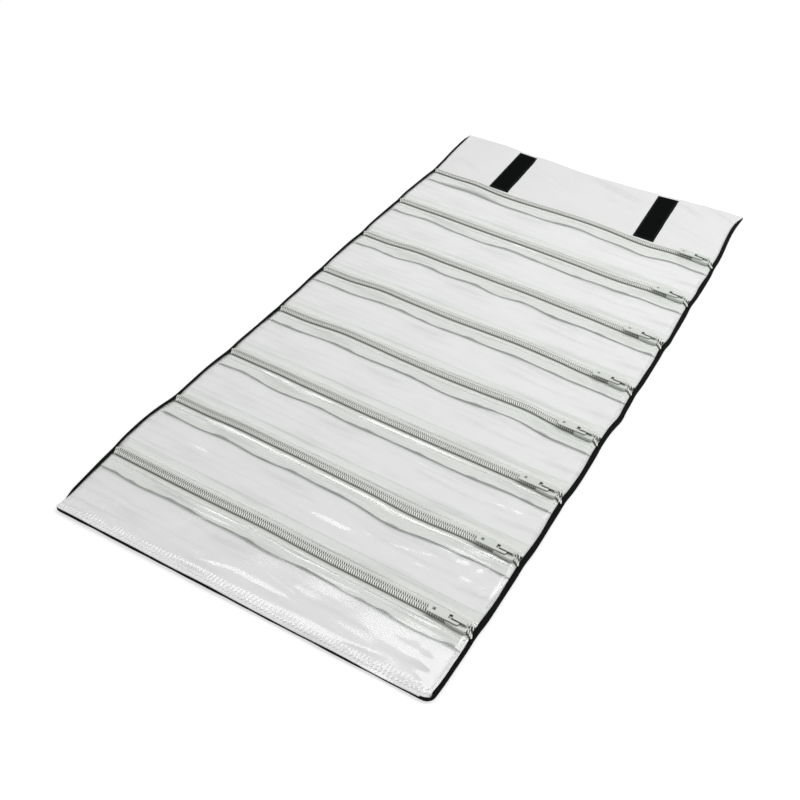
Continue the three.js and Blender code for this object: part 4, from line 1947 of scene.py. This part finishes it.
@dataclass
class TapeStrip:
    """What the strips of hook tape and loop tape share.

    Attributes:
        side: -1 for the left strip and 1 for the right one.
    """

    side: int
    finish: Material

    @property
    def label(self) -> str:
        """Ending of the strip's names."""
        return "left" if self.side < 0 else "right"

    @staticmethod
    def _grid(x: Span, y: Span, step: float) -> tuple[Array, Array, Array]:
        """Spreads points over a strip.

        Args:
            x: Its left and right side.
            y: Its near and far end.
            step: About how far apart the points are across it.

        Returns:
            The X and the Y of each point, and how far inside the rim it lies.
        """
        across, along = np.meshgrid(stations(*x, step), stations(*y, 1.5 * MM))
        rim = np.minimum.reduce([across - x[0], x[1] - across, along - y[0], y[1] - along])
        return across, along, rim


@dataclass
class HookTape(TapeStrip):
    """One strip of hook tape on the flap: a woven base with rows of small hooks.

    Attributes:
        base_share: Share of the strip's height that the base takes.
    """

    base_share: float = 0.55
    base_thickness: float = 0.45 * MM
    pitch: Span = (1.35 * MM, 1.5 * MM)

    def build(self, layout: RollLayout) -> Piece:
        """Makes the strip.

        Args:
            layout: Places of the roll.

        Returns:
            The strip.
        """
        low, high = layout.strip_box(self.side)
        base_top = low.z + self.base_share * (high.z - low.z)
        form = Form.empty()
        across, along, rim = self._grid((low.x, high.x), (low.y, high.y), 1.0 * MM)
        z = base_top - 0.25 * MM * (1.0 - ease(rim, 0.8 * MM))
        top = np.stack([across, along, z], axis=2)
        form.add_sheet(top, self.base_thickness, top[:, :, :2])
        path = np.array([(0.0, -0.1), (0.0, 0.3), (0.1, 0.5), (0.32, 0.58), (0.52, 0.5), (0.58, 0.34)]) * MM
        hook = tube(path, wide=0.14 * MM, high=0.1 * MM, sides=4)
        rows = np.arange(low.y + 2.4 * MM, high.y - 2.4 * MM, self.pitch[1])
        columns = np.arange(low.x + 2.0 * MM, high.x - 1.8 * MM, self.pitch[0])
        grid_x, grid_y = np.meshgrid(columns, rows)
        jitter = np.random.default_rng(90 + self.side).uniform(-0.12, 0.12, (2, grid_x.size)) * MM
        height = np.full(grid_x.size, base_top)
        places = np.stack([grid_x.ravel() + jitter[0], grid_y.ravel() + jitter[1], height], axis=1)
        turns = np.where((np.arange(grid_x.size) % len(columns)) % 2 == 0, 0.0, math.pi)
        form.add_copies(hook, places, turns)
        form.points[:, 0] += layout.strip_shift(form.points[:, 1], self.side)
        piece = form.build(f"hook_tape_{self.label}", layout)
        dress(piece, self.finish)
        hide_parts(f"hook_strip_{self.label}")
        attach(piece, "flap")
        return piece


@dataclass
class LoopTape(TapeStrip):
    """One strip of loop tape on the outside of the cover, where a hook strip lands on the closed roll."""

    section: int = 6
    near: float = -150.0 * MM
    far: float = -97.0 * MM
    proud: float = 0.35 * MM

    def build(self, layout: RollLayout) -> Piece:
        """Makes the strip.

        Args:
            layout: Places of the roll.

        Returns:
            The strip.
        """
        low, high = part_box(f"hook_strip_{self.label}")
        across, along, rim = self._grid((low.x, high.x), (self.near, self.far), 1.2 * MM)
        pile = Ripples(95 + self.side, 12, length=(2.0, 6.0))
        depth = self.proud * (0.55 + 0.2 * pile.at(across, along)) * ease(rim / (0.9 * MM) + 0.25)
        form = Form.empty()
        over = np.stack([across, along, np.full_like(across, 0.1 * MM)], axis=2)
        form.add_sheet(over, 0.0, over[:, :, :2])
        form.points[across.size:, 2] = -depth.ravel()
        piece = form.build(f"loop_tape_{self.label}", layout)
        dress(piece, self.finish)
        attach(piece, layout.body(self.section))
        return piece


@dataclass
class Stitching:
    """A row of lock stitches.

    Attributes:
        sunk: How far the ends of a stitch go under the cloth.
        slant: Turn of each stitch out of the row, in degrees.
    """

    length: float = 2.1 * MM
    pitch: float = 2.8 * MM
    thickness: float = 0.17 * MM
    sunk: float = 0.22 * MM
    slant: float = 0.0

    def sew(self, form: Form, route: Route, reach: float) -> None:
        """Adds a row of stitches to a form.

        Args:
            form: Form that they are added to.
            route: Gives the points at distances along the row.
            reach: Length of the row.
        """
        half = self.length / 2.0
        rise = np.array([-self.sunk, 0.04 * MM, 0.12 * MM, 0.04 * MM, -self.sunk])
        path = np.stack([np.array([-half, -0.75 * half, 0.0, 0.75 * half, half]), rise], axis=1)
        stitch = tube(path, wide=self.thickness, high=self.thickness, sides=6)
        distance = np.arange(self.pitch / 2.0, reach, self.pitch)
        ahead = route(distance + 0.2 * MM) - route(distance - 0.2 * MM)
        turns = np.arctan2(ahead[:, 1], ahead[:, 0]) - math.pi / 2.0 + math.radians(self.slant)
        form.add_copies(stitch, route(distance), turns)


@dataclass
class SewnRows:
    """All rows of stitches of the roll.

    Attributes:
        lower_reach: Row on the lower tape, from the joint line.
        upper_reach: Row on the upper tape, from the joint line.
        near_inset: Row along the near edge, from that edge.
        side_inset: Rows along the sides, from the lip of the hem.
    """

    layout: RollLayout
    hem: Hem
    lining: Lining
    zippers: dict[int, CoilZipper]
    windows: dict[int, PocketWindow]
    wardrobe: Wardrobe
    lower_reach: float = 7.2 * MM
    upper_reach: float = 6.6 * MM
    near_inset: float = 3.6 * MM
    side_inset: float = 2.4 * MM
    end_inset: float = 6.0 * MM
    hook_inset: float = 1.3 * MM
    near_wander: float = 0.35 * MM
    proud: float = 0.05 * MM

    def build(self) -> list[Piece]:
        """Sews every row.

        Returns:
            One piece for each section, and one for the hook strips.
        """
        layout = self.layout
        sewing = Stitching()
        slanted = Stitching(thickness=0.27 * MM, sunk=0.15 * MM, slant=50.0)
        across = 2.0 * (layout.half_width - self.end_inset)
        pieces = []
        for section in range(layout.pockets + 1):
            form = Form.empty()
            zipper = self.zippers.get(section)
            if zipper is not None:
                sewing.sew(form, self._cross_route(section, zipper.line - self.lower_reach, zipper), across)
            if section > 1:
                share = zipper.upper_share(self.upper_reach)
                route = self._cross_route(section - 1, zipper.line + self.upper_reach, zipper, share)
                sewing.sew(form, route, across)
            if section == layout.pockets:
                slanted.sew(form, self._cross_route(section, self.near_inset - layout.half_length), across)
            for side in (-1, 1):
                sewing.sew(form, *self._side_route(section, side))
            pieces.append(form.build(f"stitches_{layout.label(section)}", layout))
            dress(pieces[-1], self.wardrobe.thread)
            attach(pieces[-1], layout.body(section))
        form = Form.empty()
        for side in (-1, 1):
            Stitching(length=1.9 * MM, pitch=2.5 * MM).sew(form, *self._hook_route(side))
        pieces.append(form.build("stitches_hook_tape", layout))
        dress(pieces[-1], self.wardrobe.dark_thread)
        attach(pieces[-1], layout.body(0))
        return pieces

    def _cross_route(
        self, pocket: int, line: float, zipper: CoilZipper | None = None, share: float = 1.0,
    ) -> Route:
        """Row across a window, which follows a zipper or else wanders by itself.

        Args:
            pocket: Pocket of the window.
            line: Y of the row.
            zipper: Zipper that it follows, if any.
            share: Share of that zipper's stray that it takes.

        Returns:
            The route.
        """
        window = self.windows[pocket]
        wander = Ripples(71, 4, length=(40.0, 160.0), heading=(-5.0, 5.0))

        def route(distance: Array) -> Array:
            """Points of the row."""
            x = self.end_inset - self.layout.half_width + distance
            y = line + (self.near_wander * wander.along_x(x) if zipper is None else np.zeros_like(x))
            z = window.height(x, window.zipper.line - y) + self.proud
            return np.stack([x, y if zipper is None else y + zipper.sway(x) * share, z], axis=1)

        return route

    def _side_route(self, section: int, side: int) -> tuple[Route, float]:
        """Row along a side of a section.

        Args:
            section: Number of the section.
            side: 1 for right and -1 for left.

        Returns:
            The route and its length.
        """
        layout = self.layout
        last, first = section == layout.pockets, section == 0
        near = self.near_inset - layout.half_length if last else layout.fold(section + 1) + 4.0 * MM
        far = layout.half_length - 5.0 * MM if first else layout.coil(section) - self.lower_reach - 3.0 * MM

        def route(distance: Array) -> Array:
            """Points of the row."""
            y = near + distance
            inside = np.maximum(self.hem.lip(y, side), 1.0 * MM) + self.side_inset
            x = side * layout.edge(y, side, inside)
            if first:
                z = self.lining.height(x, y)
            else:
                z = self.windows[section].height(x, layout.coil(section) - y)
            return np.stack([x, y, z + self.proud], axis=1)

        return route, far - near

    def _hook_route(self, side: int) -> tuple[Route, float]:
        """Row round a hook strip.

        Args:
            side: 1 for the right strip and -1 for the left one.

        Returns:
            The route and its length.
        """
        low, high = self.layout.strip_box(side)
        left, right = low.x + self.hook_inset, high.x - self.hook_inset
        near, far = low.y + self.hook_inset, high.y - self.hook_inset
        corners = np.array([(left, near), (right, near), (right, far), (left, far), (left, near)])
        run = np.concatenate([[0.0], np.cumsum(np.linalg.norm(np.diff(corners, axis=0), axis=1))])
        z = low.z + 0.57 * (high.z - low.z)

        def route(distance: Array) -> Array:
            """Points of the row."""
            x = np.interp(distance, run, corners[:, 0])
            y = np.interp(distance, run, corners[:, 1])
            return np.stack([x + self.layout.strip_shift(y, side), y, np.full_like(x, z)], axis=1)

        return route, float(run[-1])


# Studio


@dataclass(frozen=True)
class Lamp:
    """One soft lamp.

    Attributes:
        azimuth: Direction that it stands in, in degrees, as the camera's.
    """

    name: str
    azimuth: float
    elevation: float
    distance: float
    size: Span
    power: float


@dataclass
class Studio:
    """Pale floor, soft light and the camera.

    Attributes:
        floor_glow: Light that the floor adds to its own look, which makes it white where no shadow falls.
    """

    target: tuple[float, float, float] = (-3.31 * MM, -81.27 * MM, 0.0)
    azimuth: float = 28.51
    elevation: float = 43.12
    roll: float = 3.15
    distance: float = 764.5 * MM
    lens: float = 47.46
    floor_colour: float = 0.55
    floor_glow: float = 0.57
    floor_under: float = 0.4 * MM
    floor_reach: float = 12.0
    daylight: float = 0.44
    lamps: tuple[Lamp, ...] = (
        Lamp("far_lamp", azimuth=203.0, elevation=72.0, distance=2.0, size=(2.0, 0.5), power=15.0),
        Lamp("side_lamp", azimuth=115.0, elevation=50.0, distance=1.0, size=(0.6, 0.6), power=3.3),
    )

    @staticmethod
    def _away(azimuth: float, elevation: float) -> Vector:
        """Direction from the roll to a place round it."""
        turn, rise = math.radians(azimuth), math.radians(elevation)
        return Vector((math.sin(turn) * math.cos(rise), -math.cos(turn) * math.cos(rise), math.sin(rise)))

    def build(self) -> None:
        """Makes the floor, the light and the camera."""
        self._floor()
        self._world()
        for lamp in self.lamps:
            self._lamp(lamp)
        self._camera()
        bpy.context.scene.view_settings.view_transform = "Standard"

    @staticmethod
    def _seen(graph: Graph) -> Socket:
        """1 for rays that see the background, straight, in a reflection or through something clear.

        Args:
            graph: Graph that it is wired in.

        Returns:
            The mask.
        """
        ray = graph.add("ShaderNodeLightPath")
        mirrored = graph.math("MAXIMUM", ray.outputs["Is Glossy Ray"], ray.outputs["Is Transmission Ray"])
        return graph.math("MAXIMUM", ray.outputs["Is Camera Ray"], mirrored)

    def _floor(self) -> None:
        """Plain pale floor under the roll."""
        mesh = bpy.data.meshes.new("floor")
        reach = self.floor_reach
        corners = [(-reach, -reach), (reach, -reach), (reach, reach), (-reach, reach)]
        mesh.from_pydata([(x, y, -self.floor_under) for x, y in corners], [], [(0, 1, 2, 3)])
        floor = linked("floor", mesh)
        material = bpy.data.materials.new("floor_paint")
        material.use_nodes = True
        graph = Graph(material.node_tree)
        graph.wire(material.node_tree.nodes["Principled BSDF"], {
            "Base Color": (*[self.floor_colour] * 3, 1.0),
            "Roughness": 1.0,
            "Specular IOR Level": 0.0,
            "Emission Color": (1.0, 1.0, 1.0, 1.0),
            "Emission Strength": graph.math("MULTIPLY", self._seen(graph), self.floor_glow),
        })
        mesh.materials.append(material)

    def _world(self) -> None:
        """Even light from all round, white to the camera and in reflections."""
        world = bpy.data.worlds.new("studio")
        bpy.context.scene.world = world
        world.use_nodes = True
        graph = Graph(world.node_tree)
        strength = graph.add("ShaderNodeMix", {0: self._seen(graph), 2: self.daylight, 3: 1.0})
        inputs = {"Color": (1.0, 1.0, 1.0, 1.0), "Strength": strength.outputs[0]}
        graph.wire(world.node_tree.nodes["Background"], inputs)

    def _lamp(self, lamp: Lamp) -> None:
        """Places one lamp so that it faces the roll.

        Args:
            lamp: The lamp.
        """
        light = bpy.data.lights.new(lamp.name, "AREA")
        light.shape = "RECTANGLE"
        light.size, light.size_y = lamp.size
        light.energy = lamp.power
        away = self._away(lamp.azimuth, lamp.elevation)
        stand = linked(lamp.name, light)
        stand.location = away * lamp.distance
        stand.rotation_mode = "QUATERNION"
        stand.rotation_quaternion = (-away).to_track_quat("-Z", "Y")

    def _camera(self) -> None:
        """Camera at the viewing angle."""
        data = bpy.data.cameras.new("camera")
        data.sensor_fit = "HORIZONTAL"
        data.sensor_width = 36.0
        data.lens = self.lens
        data.clip_start, data.clip_end = 0.01, 50.0
        camera = linked("camera", data)
        away = self._away(self.azimuth, self.elevation)
        camera.location = Vector(self.target) + away * self.distance
        upright = (-away).to_track_quat("-Z", "Y").to_matrix().to_4x4()
        tilt = Matrix.Rotation(math.radians(self.roll), 4, "Z")
        camera.rotation_mode = "QUATERNION"
        camera.rotation_quaternion = (upright @ tilt).to_quaternion()
        bpy.context.scene.camera = camera


def main() -> None:
    """Builds the roll and its studio, and reports each piece."""
    logging.basicConfig(level=logging.INFO, format="%(name)s: %(message)s")
    layout = RollLayout.read()
    wardrobe = Wardrobe.make()
    Studio().build()
    hem = Hem(layout)
    lining = Lining(layout, hem, wardrobe.lining)
    pieces = OuterCover(layout, hem, wardrobe.cover).build() + lining.build()
    numbers = range(1, layout.pockets + 1)
    zippers = {n: CoilZipper(layout, hem, n, wardrobe.tape, wardrobe.coil) for n in numbers}
    # Wider, darker painted shadow along the first pocket's lower tape edge, near its left end
    zippers[1].edge_shadow_swell = Swell(-88.0 * MM, 30.0 * MM, 0.3)
    zippers[layout.pockets].droop = 0.12 * MM
    windows = {
        n: PocketWindow(layout, hem, n, zippers[n], zippers.get(n + 1), wardrobe.vinyl) for n in numbers
    }
    for n, pull in {2: 1.1, 6: 1.0, 7: 1.0, 8: 0.9}.items():
        windows[n].seam_pull = pull
    windows[2].seam_glint = Swell(-44.0 * MM, 22.0 * MM, 0.7)
    for n in numbers:
        pieces += zippers[n].build()
        pieces.append(windows[n].build())
        pieces += ZipSlider(n, wardrobe.enamel).build()
    for side in (-1, 1):
        pieces.append(HookTape(side, wardrobe.hook).build(layout))
        pieces.append(LoopTape(side, wardrobe.loop).build(layout))
    pieces += SewnRows(layout, hem, lining, zippers, windows, wardrobe).build()
    for piece in pieces:
        bodies = " and ".join(body_of(piece))
        LOG.info("%s: %d faces on %s", piece.name, len(piece.data.polygons), bodies)


if __name__ == "__main__":
    main()
